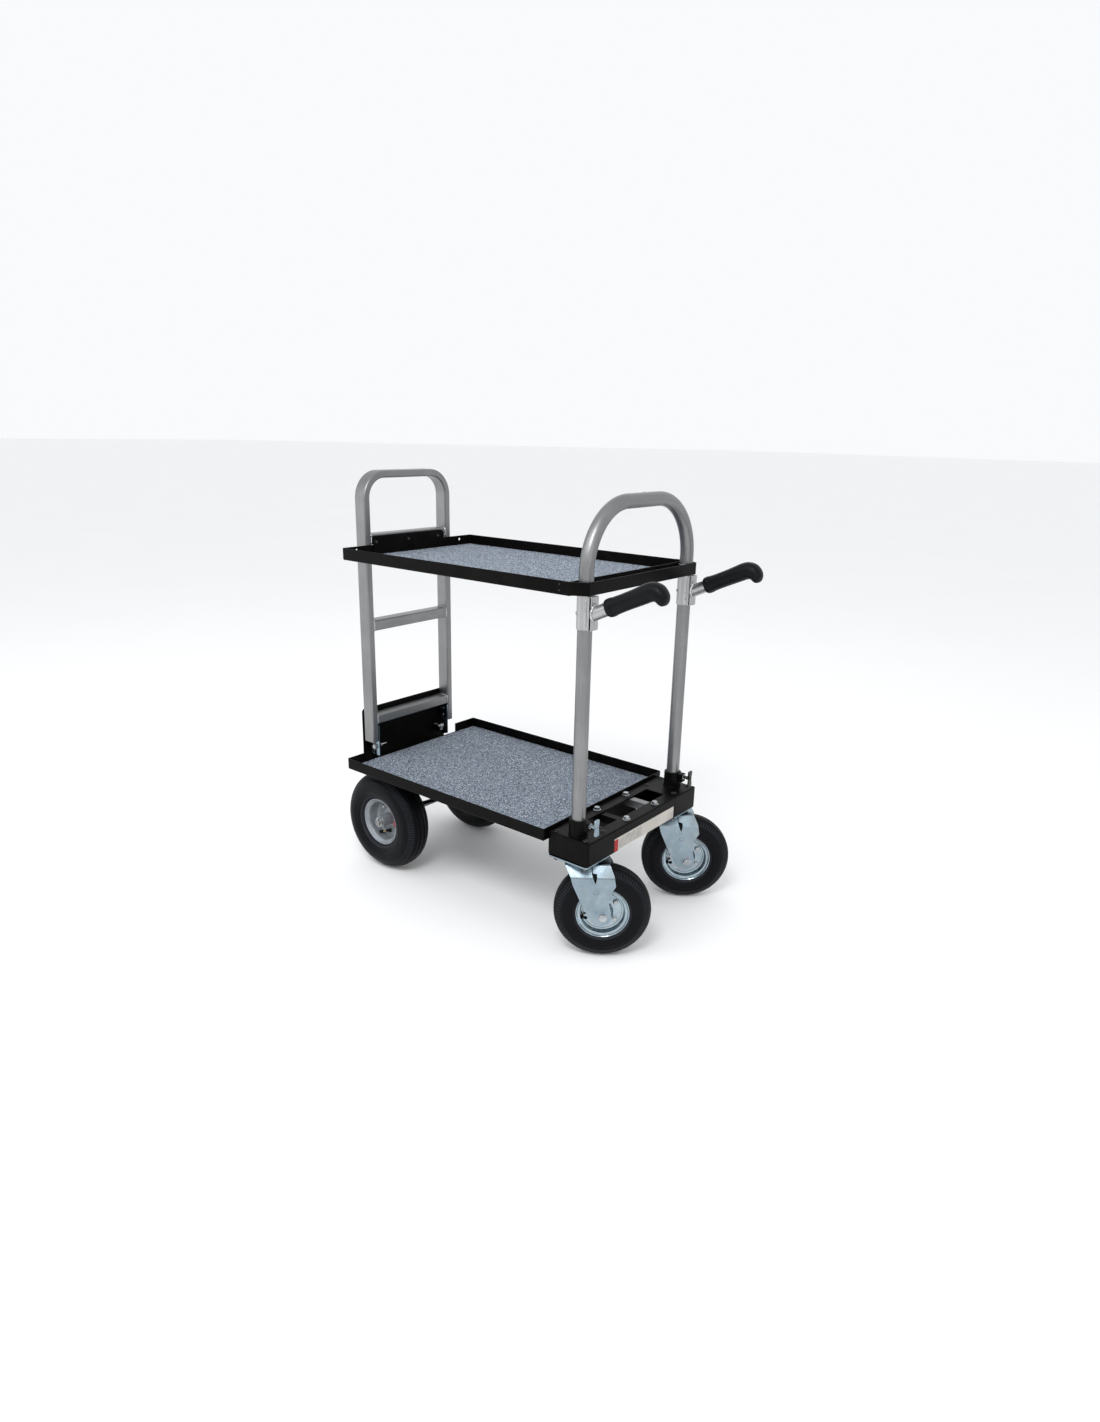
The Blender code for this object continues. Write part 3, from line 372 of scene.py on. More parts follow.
LABEL = simple("blank_label_film", (0.30, 0.285, 0.265), (0.42, 0.405, 0.385), (0.32, 0.46), 0.0, 90.0, IOR=1.46)
BRASS = simple("valve_brass", (0.42, 0.30, 0.13), (0.52, 0.39, 0.19), (0.24, 0.38), 1.0)
SHADOW = simple("bore_dark", (0.004, 0.004, 0.004), (0.009, 0.0085, 0.008), (0.6, 0.8), 0.0, Specular_IOR_Level=0.1)


# ================================================================== shape tools
def shape(verts, faces, mat):
    return [(verts, faces, mat)]


def rbox(lo, hi, mat, r=0.0008, seg=2):
    """A block with rounded edges."""
    lo, hi = Vector(lo), Vector(hi)
    bm = bmesh.new()
    bmesh.ops.create_cube(bm, size=1.0)
    bmesh.ops.scale(bm, vec=hi - lo, verts=bm.verts)
    bmesh.ops.translate(bm, vec=(lo + hi) / 2, verts=bm.verts)
    if r:
        bmesh.ops.bevel(bm, geom=list(bm.edges), offset=r, segments=seg, profile=0.5, affect="EDGES",
                        clamp_overlap=True)
    bm.verts.index_update()
    out = ([v.co.copy() for v in bm.verts], [[v.index for v in f.verts] for f in bm.faces], mat)
    bm.free()
    return [out]


def basis(axis, ref=None):
    """Two unit vectors square to an axis."""
    a = Vector(axis).normalized()
    r = Vector(ref) if ref is not None else (Z if abs(a.z) < 0.9 else X)
    u = (r - a * r.dot(a)).normalized()
    return a, u, a.cross(u)


def lathe(profile, centre, axis, mat, steps=48, ref=None, closed=False, radius_of=None):
    """Turn (radius, height) points about an axis. Points at radius 0 become poles."""
    a, u, v = basis(axis, ref)
    c = Vector(centre)
    verts, rings, faces = [], [], []
    for k, (r, h) in enumerate(profile):
        if r <= 1e-9:
            rings.append([len(verts)] * steps)
            verts.append(c + a * h)
            continue
        ring = []
        for i in range(steps):
            th = math.tau * i / steps
            rr, hh = (r, h) if radius_of is None else radius_of(k, r, h, th)
            ring.append(len(verts))
            verts.append(c + a * hh + (u * math.cos(th) + v * math.sin(th)) * rr)
        rings.append(ring)
    pairs = list(zip(rings, rings[1:]))
    if closed:
        pairs.append((rings[-1], rings[0]))
    for p, q in pairs:
        for i in range(steps):
            j = (i + 1) % steps
            quad = [p[i], p[j], q[j], q[i]]
            quad = [x for n, x in enumerate(quad) if x not in quad[:n]]
            if len(quad) > 2:
                faces.append(quad)
    return shape(verts, faces, mat)


def sweep(path, section, normal, mat, closed=False, caps=True, scale=None):
    """Carry a closed 2-D section along a planar path. Section x is in the path's plane, y along the normal."""
    path = [Vector(p) for p in path]
    b = Vector(normal).normalized()
    n = len(path)
    verts, rings, faces = [], [], []
    for i, p in enumerate(path):
        if closed:
            t0, t1 = (p - path[i - 1]).normalized(), (path[(i + 1) % n] - p).normalized()
        else:
            t0 = (p - path[max(i - 1, 0)]).normalized() if i else (path[1] - p).normalized()
            t1 = (path[min(i + 1, n - 1)] - p).normalized() if i < n - 1 else t0
        t = (t0 + t1).normalized()
        side = b.cross(t).normalized()
        stretch = 1.0 / max(0.5, math.sqrt((1 + max(-0.9, t0.dot(t1))) / 2))
        s = (1.0, 1.0) if scale is None else scale(i)
        ring = []
        for x, y in section:
            ring.append(len(verts))
            verts.append(p + side * x * stretch * s[0] + b * y * s[1])
        rings.append(ring)
    m = len(section)
    pairs = list(zip(rings, rings[1:])) + ([(rings[-1], rings[0])] if closed else [])
    for p, q in pairs:
        for i in range(m):
            j = (i + 1) % m
            faces.append([p[i], p[j], q[j], q[i]])
    if caps and not closed:
        faces.append(list(reversed(rings[0])))
        faces.append(rings[-1])
    return shape(verts, faces, mat)


def circle(r, n=32, squash=1.0):
    return [(r * math.cos(math.tau * i / n), r * squash * math.sin(math.tau * i / n)) for i in range(n)]


def arc(cx, cy, r, a0, a1, n):
    return [(cx + r * math.cos(math.radians(a0 + (a1 - a0) * i / n)),
             cy + r * math.sin(math.radians(a0 + (a1 - a0) * i / n))) for i in range(n + 1)]


def rrect(w, h, r, n=5):
    """Rounded rectangle section, centred."""
    x, y = w / 2 - r, h / 2 - r
    return (arc(x, y, r, 0, 90, n) + arc(-x, y, r, 90, 180, n) + arc(-x, -y, r, 180, 270, n)
            + arc(x, -y, r, 270, 360, n))


def fillet(points, radius, n=6, closed=False):
    """Round the corners of a polyline. radius is one number or one for each point."""
    pts = [Vector((*p, 0)) if len(p) == 2 else Vector(p) for p in points]
    flat = len(points[0]) == 2
    out, m = [], len(pts)
    for i, p in enumerate(pts):
        r = radius[i] if hasattr(radius, "__len__") else radius
        if (not closed and i in (0, m - 1)) or r <= 0:
            out.append(p)
            continue
        a, b = pts[i - 1] - p, pts[(i + 1) % m] - p
        la, lb = a.length, b.length
        a, b = a / la, b / lb
        ang = a.angle(b)
        if ang > math.radians(177):
            out.append(p)
            continue
        d = min(r / math.tan(ang / 2), la * 0.49, lb * 0.49)
        r = d * math.tan(ang / 2)
        c = p + (a + b).normalized() * (r / math.sin(ang / 2))
        s, e = p + a * d - c, p + b * d - c
        turn = s.angle(e)
        for k in range(n + 1):
            f = k / n
            out.append(c + (s * math.sin((1 - f) * turn) + e * math.sin(f * turn)) / math.sin(turn))
    return [(v.x, v.y) for v in out] if flat else out


def plate(outline, holes, z0, z1, matrix, mat, bevel=0.0005, seg=2):
    """A flat outline with holes, filled, given a thickness and rounded edges. matrix takes (u, v, w) to the cart."""
    cu = bpy.data.curves.new("tmp", "CURVE")
    cu.dimensions, cu.fill_mode = "2D", "BOTH"
    half = (z1 - z0) / 2
    cu.extrude, cu.bevel_depth, cu.bevel_resolution = half - bevel, bevel, seg - 1
    cu.offset = -bevel
    for ring in [outline] + list(holes):
        sp = cu.splines.new("POLY")
        sp.points.add(len(ring) - 1)
        for p, (a, b) in zip(sp.points, ring):
            p.co = (a, b, 0, 1)
        sp.use_cyclic_u = True
    ob = bpy.data.objects.new("tmp", cu)
    bpy.context.scene.collection.objects.link(ob)
    me = bpy.data.meshes.new_from_object(ob.evaluated_get(bpy.context.evaluated_depsgraph_get()))
    bpy.data.objects.remove(ob, do_unlink=True)
    bpy.data.curves.remove(cu)
    bm = bmesh.new()
    bm.from_mesh(me)
    bpy.data.meshes.remove(me)
    bmesh.ops.remove_doubles(bm, verts=bm.verts, dist=1e-6)
    bmesh.ops.recalc_face_normals(bm, faces=bm.faces)
    bm.verts.index_update()
    off = Vector((0, 0, (z0 + z1) / 2))
    out = ([matrix @ (v.co + off) for v in bm.verts], [[v.index for v in f.verts] for f in bm.faces], mat)
    bm.free()
    return [out]


def ring_hole(cx, cy, r, n=24):
    return [(cx + r * math.cos(-math.tau * i / n), cy + r * math.sin(-math.tau * i / n)) for i in range(n)]


def hex_head(centre, axis, af, h, mat, ref=None, steps=48):
    """A hexagon head or nut with its turned chamfer."""
    a, u, v = basis(axis, ref)
    c = Vector(centre)
    verts, faces = [], []
    rc = af / 2 * 0.93

    def hexr(th):
        return af / 2 / math.cos((th + math.pi / 6) % (math.pi / 3) - math.pi / 6)

    rows = []
    for kind in range(5):
        row = []
        for i in range(steps):
            th = math.tau * i / steps
            r = hexr(th)
            z = h - (r - rc) * 0.55
            rr, zz = [(r - 0.0003, 0.0), (r, 0.0003), (r, z), (rc, h), (rc * 0.85, h + 0.00015)][kind]
            row.append(len(verts))
            verts.append(c + a * zz + (u * math.cos(th) + v * math.sin(th)) * rr)
        rows.append(row)
    for p, q in zip(rows, rows[1:]):
        for i in range(steps):
            j = (i + 1) % steps
            faces.append([p[i], p[j], q[j], q[i]])
    faces.append(list(reversed(rows[0])))
    faces.append(rows[-1])
    return shape(verts, faces, mat)


def washer(centre, axis, r0, r1, t, mat, steps=36):
    e = min(0.0004, t / 3)
    prof = [(r0, e), (r0 + e, 0), (r1 - e, 0), (r1, e), (r1, t - e), (r1 - e, t), (r0 + e, t), (r0, t - e)]
    return lathe(prof, centre, axis, mat, steps, closed=True)


def hex_bolt(centre, axis, af, h, mat, washer_r=0.0, washer_t=0.0014, nut=None, shank=None, ref=None):
    """Washer, hexagon head and, where given, a shank (radius, length) that runs back through the joint."""
    a = Vector(axis).normalized()
    c = Vector(centre)
    out = []
    if washer_r:
        out += washer(c, a, af * 0.32, washer_r, washer_t, mat)
    out += hex_head(c + a * (washer_t if washer_r else 0), a, af, h, mat, ref)
    if shank:
        out += lathe([(0, 0.0002), (shank[0], 0.0002), (shank[0], -shank[1] + 0.0006), (shank[0] - 0.0006, -shank[1]),
                      (0, -shank[1])], c, a, mat, 20)
    return out


def threads(centre, axis, r, length, mat, pitch=0.00125, steps=20):
    """The end of a threaded rod: ridged and chamfered."""
    prof, h, k = [(0, 0)], 0.0, 0
    while h < length - 0.001:
        prof.append((r if k % 2 else r - 0.0005, h))
        h += pitch / 2
        k += 1
    prof += [(r - 0.0002, length - 0.0008), (r - 0.0010, length), (0, length)]
    return lathe(prof, centre, axis, mat, steps)


def bead(path, r, mat, closed=False, seed=1, ripple=0.0024, steps=10):
    """A weld bead along a path: overlapping ripples of uneven size."""
    path = [Vector(p) for p in path]
    pts = []
    m = len(path)
    for i in range(m if closed else m - 1):
        a, b = path[i], path[(i + 1) % m]
        k = max(1, int((b - a).length / (ripple / 3)))
        pts += [a.lerp(b, j / k) for j in range(k)]
    if not closed:
        pts.append(path[-1])
    n = len(pts)
    verts, rings, faces, run = [], [], [], 0.0
    prev = None
    for i, p in enumerate(pts):
        t = ((pts[(i + 1) % n] - pts[i - 1]) if closed or 0 < i < n - 1 else
             (pts[1] - pts[0] if i == 0 else pts[-1] - pts[-2])).normalized()
        if prev is None:
            _, u, _ = basis(t)
        else:
            u = (prev - t * prev.dot(t)).normalized()
        prev = u
        v = t.cross(u)
        run += 0 if i == 0 else (p - pts[i - 1]).length
        rr = r * (0.90 + 0.13 * abs(math.sin(math.pi * run / ripple))
                  + 0.16 * noise.noise(Vector((seed * 7.3, run * 160, 1.7))))
        if not closed:
            rr *= min(1.0, 0.35 + 0.65 * min(i, n - 1 - i) / 4)
        ring = []
        for k in range(steps):
            th = math.tau * k / steps
            ring.append(len(verts))
            verts.append(p + (u * math.cos(th) + v * math.sin(th)) * rr)
        rings.append(ring)
    for p, q in list(zip(rings, rings[1:])) + ([(rings[-1], rings[0])] if closed else []):
        for k in range(steps):
            j = (k + 1) % steps
            faces.append([p[k], p[j], q[j], q[k]])
    if not closed:
        faces.append(list(reversed(rings[0])))
        faces.append(rings[-1])
    return shape(verts, faces, mat)


def catmull(points, per=6):
    """A smooth curve through points of any dimension."""
    p = np.array([list(q) for q in points], float)
    p = np.vstack([2 * p[0] - p[1], p, 2 * p[-1] - p[-2]])
    out = []
    for i in range(1, len(p) - 2):
        for k in range(per):
            t = k / per
            out.append(0.5 * ((2 * p[i]) + (-p[i - 1] + p[i + 1]) * t
                              + (2 * p[i - 1] - 5 * p[i] + 4 * p[i + 1] - p[i + 2]) * t * t
                              + (-p[i - 1] + 3 * p[i] - 3 * p[i + 1] + p[i + 2]) * t ** 3))
    out.append(p[-2])
    return [tuple(q) for q in out]


def turned(parts, matrix):
    return [([matrix @ Vector(v) for v in vs], fs, m) for vs, fs, m in parts]


def hollow_bar(lo, hi, along, wall, r, mat, depth=0.02):
    """A rounded rectangular tube between two corners, open at both ends."""
    lo, hi = Vector(lo), Vector(hi)
    c = (lo + hi) / 2
    ax = [X, Y, Z][along]
    u, v = [(Y, Z), (Z, X), (X, Y)][along]
    w, h = abs((hi - lo).dot(u)), abs((hi - lo).dot(v))
    half = (hi - lo)[along] / 2
    outer, inner = rrect(w, h, r), rrect(w - 2 * wall, h - 2 * wall, max(r - wall, 0.0004))
    e = 0.0004
    stations = [(inner, -half + depth), (inner, -half + e), (rrect(w - 2 * wall + 2 * e, h - 2 * wall + 2 * e,
                                                                   max(r - wall + e, 0.0008)), -half),
                (rrect(w - 2 * e, h - 2 * e, r), -half), (outer, -half + e), (outer, half - e),
                (rrect(w - 2 * e, h - 2 * e, r), half), (rrect(w - 2 * wall + 2 * e, h - 2 * wall + 2 * e,
                                                               max(r - wall + e, 0.0008)), half),
                (inner, half - e), (inner, half - depth)]
    verts, faces, rings = [], [], []
    for sec, s in stations:
        ring = []
        for a, b in sec:
            ring.append(len(verts))
            verts.append(c + ax * s + u * a + v * b)
        rings.append(ring)
    m = len(outer)
    for p, q in zip(rings, rings[1:]):
        for i in range(m):
            j = (i + 1) % m
            faces.append([p[i], p[j], q[j], q[i]])
    faces.append(list(reversed(rings[0])))
    faces.append(rings[-1])
    return shape(verts, faces, mat)


PIECES = []


def piece(name, body, parts, nodes=(), smooth=38.0, weighted=True):
    """Join shapes into one object on a body, standing for CAD nodes."""
    verts, faces, index, mats = [], [], [], []
    for vs, fs, m in parts:
        if m not in mats:
            mats.append(m)
        k = len(verts)
        verts += [tuple(Vector(v) + SHIFT) for v in vs]
        faces += [[i + k for i in f] for f in fs]
        index += [mats.index(m)] * len(fs)
    me = bpy.data.meshes.new(name)
    me.from_pydata(verts, [], faces)
    for m in mats:
        me.materials.append(m)
    me.polygons.foreach_set("material_index", index)
    me.update()
    bm = bmesh.new()
    bm.from_mesh(me)
    bmesh.ops.recalc_face_normals(bm, faces=bm.faces)
    bm.to_mesh(me)
    bm.free()
    me.shade_smooth()
    me.set_sharp_from_angle(angle=math.radians(smooth))
    ob = bpy.data.objects.new(name, me)
    bpy.context.scene.collection.objects.link(ob)
    if weighted:
        mod = ob.modifiers.new("face_weighted_normals", "WEIGHTED_NORMAL")
        mod.keep_sharp, mod.weight, mod.mode = True, 90, "FACE_AREA"
    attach(ob, body)
    if nodes:
        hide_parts(*nodes)
    PIECES.append(ob)
    return ob


def place_matrix(origin, ux, uy, uz):
    m = Matrix((ux, uy, uz)).transposed().to_4x4()
    m.translation = Vector(origin)
    return m


# local (u, v, w) frames for flat plates
XZ = place_matrix((0, 0, 0), X, Z, -Y)          # outline in X and Z, thickness along -Y
YZ = place_matrix((0, 0, 0), Y, Z, X)           # outline in Y and Z, thickness along X
XY = place_matrix((0, 0, 0), X, Y, Z)


# ================================================================== trays
def tray(name, node, body, floor_r=0.0035, sheet=0.0020, notch=None, rear_holes=()):
    """A folded sheet-metal tray: rounded folds and welded corners."""
    lo, hi = box(node)
    bm = bmesh.new()
    bmesh.ops.create_cube(bm, size=1.0)
    bmesh.ops.scale(bm, vec=hi - lo, verts=bm.verts)
    bmesh.ops.translate(bm, vec=(lo + hi) / 2, verts=bm.verts)
    bm.normal_update()
    bmesh.ops.delete(bm, geom=[f for f in bm.faces if f.normal.z > 0.9], context="FACES_ONLY")
    edges = [e for e in bm.edges if not (e.verts[0].co.z > hi.z - 1e-5 and e.verts[1].co.z > hi.z - 1e-5)]
    bmesh.ops.bevel(bm, geom=edges, offset=floor_r, segments=4, profile=0.5, affect="EDGES", clamp_overlap=True)
    if notch:
        half, z = notch
        for co, no in (((0, half, 0), (0, 1, 0)), ((0, -half, 0), (0, 1, 0)), ((0, 0, z), (0, 0, 1)),
                       ((lo.x + 0.006, 0, 0), (1, 0, 0))):
            bmesh.ops.bisect_plane(bm, geom=list(bm.verts) + list(bm.edges) + list(bm.faces), plane_co=co,
                                   plane_no=no)
        gone = [f for f in bm.faces if f.calc_center_median().x < lo.x + 0.003
                and abs(f.calc_center_median().y) < half and f.calc_center_median().z > z]
        bmesh.ops.delete(bm, geom=gone, context="FACES")
    me = bpy.data.meshes.new(name)
    bmesh.ops.translate(bm, vec=SHIFT, verts=bm.verts)
    bm.normal_update()
    bmesh.ops.recalc_face_normals(bm, faces=bm.faces)
    # outward: the floor looks down
    if sum(f.normal.z * f.calc_area() for f in bm.faces) > 0:
        bmesh.ops.reverse_faces(bm, faces=bm.faces)
    bm.to_mesh(me)
    bm.free()
    me.materials.append(BLACK)
    ob = bpy.data.objects.new(name, me)
    bpy.context.scene.collection.objects.link(ob)
    mod = ob.modifiers.new("sheet", "SOLIDIFY")
    mod.thickness, mod.offset, mod.use_even_offset = sheet, -1.0, True
    for k, (x, y, z, r, axis) in enumerate(rear_holes):
        cut_me = bpy.data.meshes.new("cut")
        vs, fs, _ = lathe([(0, -0.02), (r, -0.02), (r, 0.02), (0, 0.02)], (x, y, z), axis, None, 24)[0]
        cut_me.from_pydata([tuple(Vector(v) + SHIFT) for v in vs], [], fs)
        cut_me.update()
        cut = bpy.data.objects.new("cut", cut_me)
        bpy.context.scene.collection.objects.link(cut)
        b = ob.modifiers.new("hole", "BOOLEAN")
        b.object, b.operation, b.solver = cut, "DIFFERENCE", "EXACT"
    bev = ob.modifiers.new("edges", "BEVEL")
    bev.width, bev.segments, bev.limit_method, bev.angle_limit = 0.00045, 2, "ANGLE", math.radians(50)
    dg = bpy.context.evaluated_depsgraph_get()
    final = bpy.data.meshes.new_from_object(ob.evaluated_get(dg))
    ob.modifiers.clear()
    ob.data = final
    for o in [o for o in bpy.data.objects if o.name.startswith("cut")]:
        bpy.data.objects.remove(o, do_unlink=True)
    final.shade_smooth()
    final.set_sharp_from_angle(angle=math.radians(40))
    wn = ob.modifiers.new("face_weighted_normals", "WEIGHTED_NORMAL")
    wn.keep_sharp, wn.weight = True, 90
    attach(ob, body)
    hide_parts(node)
    return ob


def carpet_sheet(name, node, body, seed, cell=0.0032):
    """A cut piece of loop carpet: tufted top with a slightly rounded, uneven cut edge."""
    lo, hi = box(node)
    nx, ny = int((hi.x - lo.x) / cell), int((hi.y - lo.y) / cell)
    verts, faces = [], []
    top = hi.z - 0.0006
    for j in range(ny + 1):
        for i in range(nx + 1):
            x, y = lo.x + (hi.x - lo.x) * i / nx, lo.y + (hi.y - lo.y) * j / ny
            edge = min(i, nx - i, j, ny - j) * cell
            z = top - 0.0014 * max(0.0, 1 - edge / 0.006) ** 2
            n1 = noise.noise(Vector((x * 330, y * 330, seed)))
            n2 = noise.noise(Vector((x * 36, y * 36, seed + 9)))
            z += 0.00065 * n1 + 0.00045 * n2
            if edge == 0:
                k = 0.0006 * noise.noise(Vector((x * 90, y * 90, seed + 4)))
                x += (k if i in (0, nx) else 0) + (0.0008 if i == 0 else -0.0008 if i == nx else 0)
                y += (k if j in (0, ny) else 0) + (0.0008 if j == 0 else -0.0008 if j == ny else 0)
            verts.append((x, y, min(z, hi.z + 0.0004)))
    for j in range(ny):
        for i in range(nx):
            a = j * (nx + 1) + i
            faces.append([a, a + 1, a + nx + 2, a + nx + 1])
    rim = ([i for i in range(nx + 1)] + [j * (nx + 1) + nx for j in range(1, ny + 1)]
           + [ny * (nx + 1) + i for i in range(nx - 1, -1, -1)] + [j * (nx + 1) for j in range(ny - 1, 0, -1)])
    base = []
    for k in rim:
        base.append(len(verts))
        verts.append((verts[k][0], verts[k][1], lo.z))
    m = len(rim)
    for k in range(m):
        j = (k + 1) % m
        faces.append([rim[j], rim[k], base[k], base[j]])
    faces.append(list(base))
    return piece(name, body, shape(verts, faces, CARPET), [node], 80, weighted=False)


LT_LO, LT_HI = box("lower_tray")
UT_LO, UT_HI = box("upper_tray")
tray("lower_tray_pan", "lower_tray", "chassis", notch=(0.1625, LT_LO.z + 0.0048))
tray("upper_tray_pan", "upper_tray", "upper_deck",
     rear_holes=[(UT_LO.x, 0.1850, 0.8570, 0.0036, X), (UT_LO.x, -0.1850, 0.8570, 0.0036, X)])
carpet_sheet("lower_carpet_mat", "lower_carpet", "chassis", 3.1)
carpet_sheet("upper_carpet_mat", "upper_carpet", "upper_deck", 8.4)

# two small pan-head screws hold the lower carpet at its rear
top = box("lower_carpet")[1].z
screws = []
for x, y in ((0.023, -0.105), (0.028, 0.083)):
    screws += lathe([(0, 0.0016), (0.0014, 0.00155), (0.0034, 0.0011), (0.0046, 0.0002), (0.0047, -0.0006),
                     (0, -0.0006)], (x, y, top - 0.0002), Z, ZINC_DULL, 24)
    for a in (0, 90):
        m = Matrix.Translation((x, y, 0)) @ Matrix.Rotation(math.radians(a + 20), 4, "Z")
        screws += turned(rbox((-0.0019, -0.0004, top + 0.0011), (0.0019, 0.0004, top + 0.0015), DARK_STEEL, 0.0001, 1), m)
piece("carpet_screws", "chassis", screws)

# ================================================================== upper deck: end strap, hook plate
lo, hi = box("end_strap")
t = 0.0024
path = fillet([(0.6160, -0.2322 + t / 2, 0), (0.6493, -0.2322 + t / 2, 0), (0.6838, -0.2130, 0), (0.6833, 0, 0),
               (0.6838, 0.2130, 0), (0.6493, 0.2322 - t / 2, 0), (0.6160, 0.2322 - t / 2, 0)],
              [0, 0.004, 0.006, 0, 0.006, 0.004, 0], 7)
zc = (lo.z + hi.z) / 2
strap = sweep([(p[0], p[1], zc) for p in path], rrect(t, hi.z - lo.z, 0.0007, 3), Z, BLACK)
for s in (-1, 1):
    for z in (zc - 0.0060, zc + 0.0065):
        strap += lathe([(0, 0.0007), (0.0011, 0.0006), (0.0020, 0.0001), (0.0021, -0.0006), (0, -0.0006)],
                       (0.6235, s * 0.2322, z), (0, s, 0), ZINC_DARK_AND_SHADE, 18)
    # the strap's cut end is welded to the tray's side
    strap += bead([(0.6155, s * 0.2302, lo.z + 0.003), (0.6155, s * 0.2302, hi.z - 0.002)], 0.0011, BLACK, seed=5 + s)
piece("end_strap_bar", "upper_deck", strap, ["end_strap"])

lo, hi = box("hook_plate")
out = fillet([(-0.1320, lo.z), (0.1200, lo.z), (0.1200, hi.z), (-0.1320, hi.z)], [0.002, 0.004, 0.012, 0.002], 8, True)
hook = plate(out, [], lo.x, hi.x, YZ, BLACK, 0.0006)
for y in (-0.1240, -0.0130, 0.0950):
    hook += hex_bolt((hi.x, y, 0.8735), X, 0.0070, 0.0026, DARK_STEEL, washer_r=0.0050, shank=(0.0024, 0.006))
    hook += lathe([(0, 0.0003), (0.0009, 0.0002), (0.0012, 0)], (hi.x + 0.0041, y, 0.8735), X, ZINC_DULL, 14)
piece("hook_plate_panel", "upper_deck", hook, ["hook_plate"])

# ================================================================== ladder frame
lo, hi = box("ladder_frame")
w, r_out = 0.0190, 0.0700
lad_y, lad_x = hi.y, (lo.x + hi.x) / 2
yc, rc = lad_y - w / 2, r_out - w / 2
path = ([(lad_x, -yc, lo.z)] + [(lad_x, -yc, z) for z in np.linspace(lo.z + 0.05, hi.z - 0.10, 10)]
        + [(lad_x, y, z) for y, z in arc(-yc + rc, hi.z - w / 2 - rc, rc, 180, 90, 22)]
        + [(lad_x, y, z) for y, z in arc(yc - rc, hi.z - w / 2 - rc, rc, 90, 0, 22)]
        + [(lad_x, yc, z) for z in np.linspace(hi.z - 0.10, lo.z + 0.05, 10)] + [(lad_x, yc, lo.z)])


def lad_scale(i):
    """The tube draws in a little on its bends."""
    p = path[i]
    k = max(0.0, p[2] - (hi.z - r_out)) / r_out
    return (1.0 - 0.035 * math.sin(math.pi * min(1.0, k)), 1.0)


frame_parts = sweep(path, rrect(w, hi.x - lo.x, 0.0042, 6), X, ALU_Z, scale=lad_scale, caps=False)
for s in (-1, 1):
    sec, inn = rrect(hi.x - lo.x, w, 0.0042, 6), rrect(hi.x - lo.x - 0.005, w - 0.005, 0.0022, 6)
    verts, faces, rings = [], [], []
    for ring, z in ((sec, lo.z), (inn, lo.z), (inn, lo.z + 0.045)):
        row = []
        for a, b in ring:
            row.append(len(verts))
            verts.append((lad_x + a, s * yc + b, z))
        rings.append(row)
    for p, q in zip(rings, rings[1:]):
        for i in range(len(p)):
            j = (i + 1) % len(p)
            faces.append([p[i], p[j], q[j], q[i]])
    faces.append(rings[-1])
    frame_parts += shape(verts, faces, ALU_Z)
# a small plug rivet on top of the bend
frame_parts += lathe([(0, 0.0012), (0.0018, 0.0010), (0.0032, 0.0002), (0.0034, -0.0008), (0, -0.0008)],
                     (lad_x, 0.0, hi.z - 0.0002), Z, ZINC_DULL, 20)
piece("ladder_frame_tube", "upper_deck", frame_parts, ["ladder_frame"])

for rung in ("top", "mid", "low"):
    lo, hi = box("ladder_rung_" + rung)
    parts = hollow_bar(lo, hi, 1, 0.002, 0.0030, ALU_Y, depth=0.01)
    for s in (-1, 1):
        y = s * (hi.y - 0.0002)
        m = 0.0016
        loop = [(lo.x + m, y, lo.z + 0.001), (hi.x - m, y, lo.z + 0.001), (hi.x + 0.0002, y, lo.z + 0.004),
                (hi.x + 0.0002, y, hi.z - 0.004), (hi.x - m, y, hi.z - 0.001), (lo.x + m, y, hi.z - 0.001),
                (lo.x - 0.0002, y, hi.z - 0.004), (lo.x - 0.0002, y, lo.z + 0.004)]
        parts += bead(loop, 0.0021, WELD, closed=True, seed=s * 3 + len(rung) + lo.z)
        if rung == "top":
            parts += bead([(hi.x - 0.001, y - s * 0.001, hi.z - 0.004), (hi.x + 0.0006, y, hi.z - 0.014),
                           (hi.x + 0.0008, y, lo.z + 0.004)], 0.0030, WELD, seed=11 + s)
    piece("ladder_rung_%s_tube" % rung, "upper_deck", parts, ["ladder_rung_" + rung])

for side, s in SIDES:
    lo, hi = box("ladder_foot_" + side)
    bx, bz, sr = -0.0885, 0.3120, 0.0045
    out = ([(lo.x, lo.z)] + [(bx - sr, lo.z), (bx - sr, bz)] + arc(bx, bz, sr, 180, 0, 10)[1:-1]
           + [(bx + sr, bz), (bx + sr, lo.z), (hi.x, lo.z), (hi.x, hi.z), (lo.x, hi.z)])
    parts = plate(out, [], lo.y, hi.y, place_matrix((0, 0, 0), X, Z, -Y) @ Matrix.Scale(-1, 4, (0, 0, 1)), ZINC, 0.0004)
    # it is riveted to the post's inner wall
    for z in (0.3450, 0.3640):
        y = lo.y if s > 0 else hi.y
        parts += lathe([(0, 0.0013), (0.0020, 0.0011), (0.0036, 0.0002), (0.0037, -0.0006), (0, -0.0006)],
                       (bx, y, z), (0, -s, 0), ZINC_DULL, 20)
    piece("ladder_foot_%s_plate" % side, "upper_deck", parts, ["ladder_foot_" + side])

# ================================================================== push loop
POST_R = 0.015875
lo, hi = box("push_loop")
post_x, post_y = (lo.x + hi.x) / 2, (hi.y - lo.y) / 2 - POST_R
bend = 0.1372
zc = hi.z - POST_R - bend
path = ([(post_x, -post_y, z) for z in np.linspace(lo.z, zc - 0.004, 16)]
        + [(post_x, y, z) for y, z in arc(-post_y + bend, zc, bend, 180, 90, 40)]
        + [(post_x, y, z) for y, z in arc(post_y - bend, zc, bend, 90, 0, 40)]
        + [(post_x, post_y, z) for z in np.linspace(zc - 0.004, lo.z, 16)])
loop_path = path


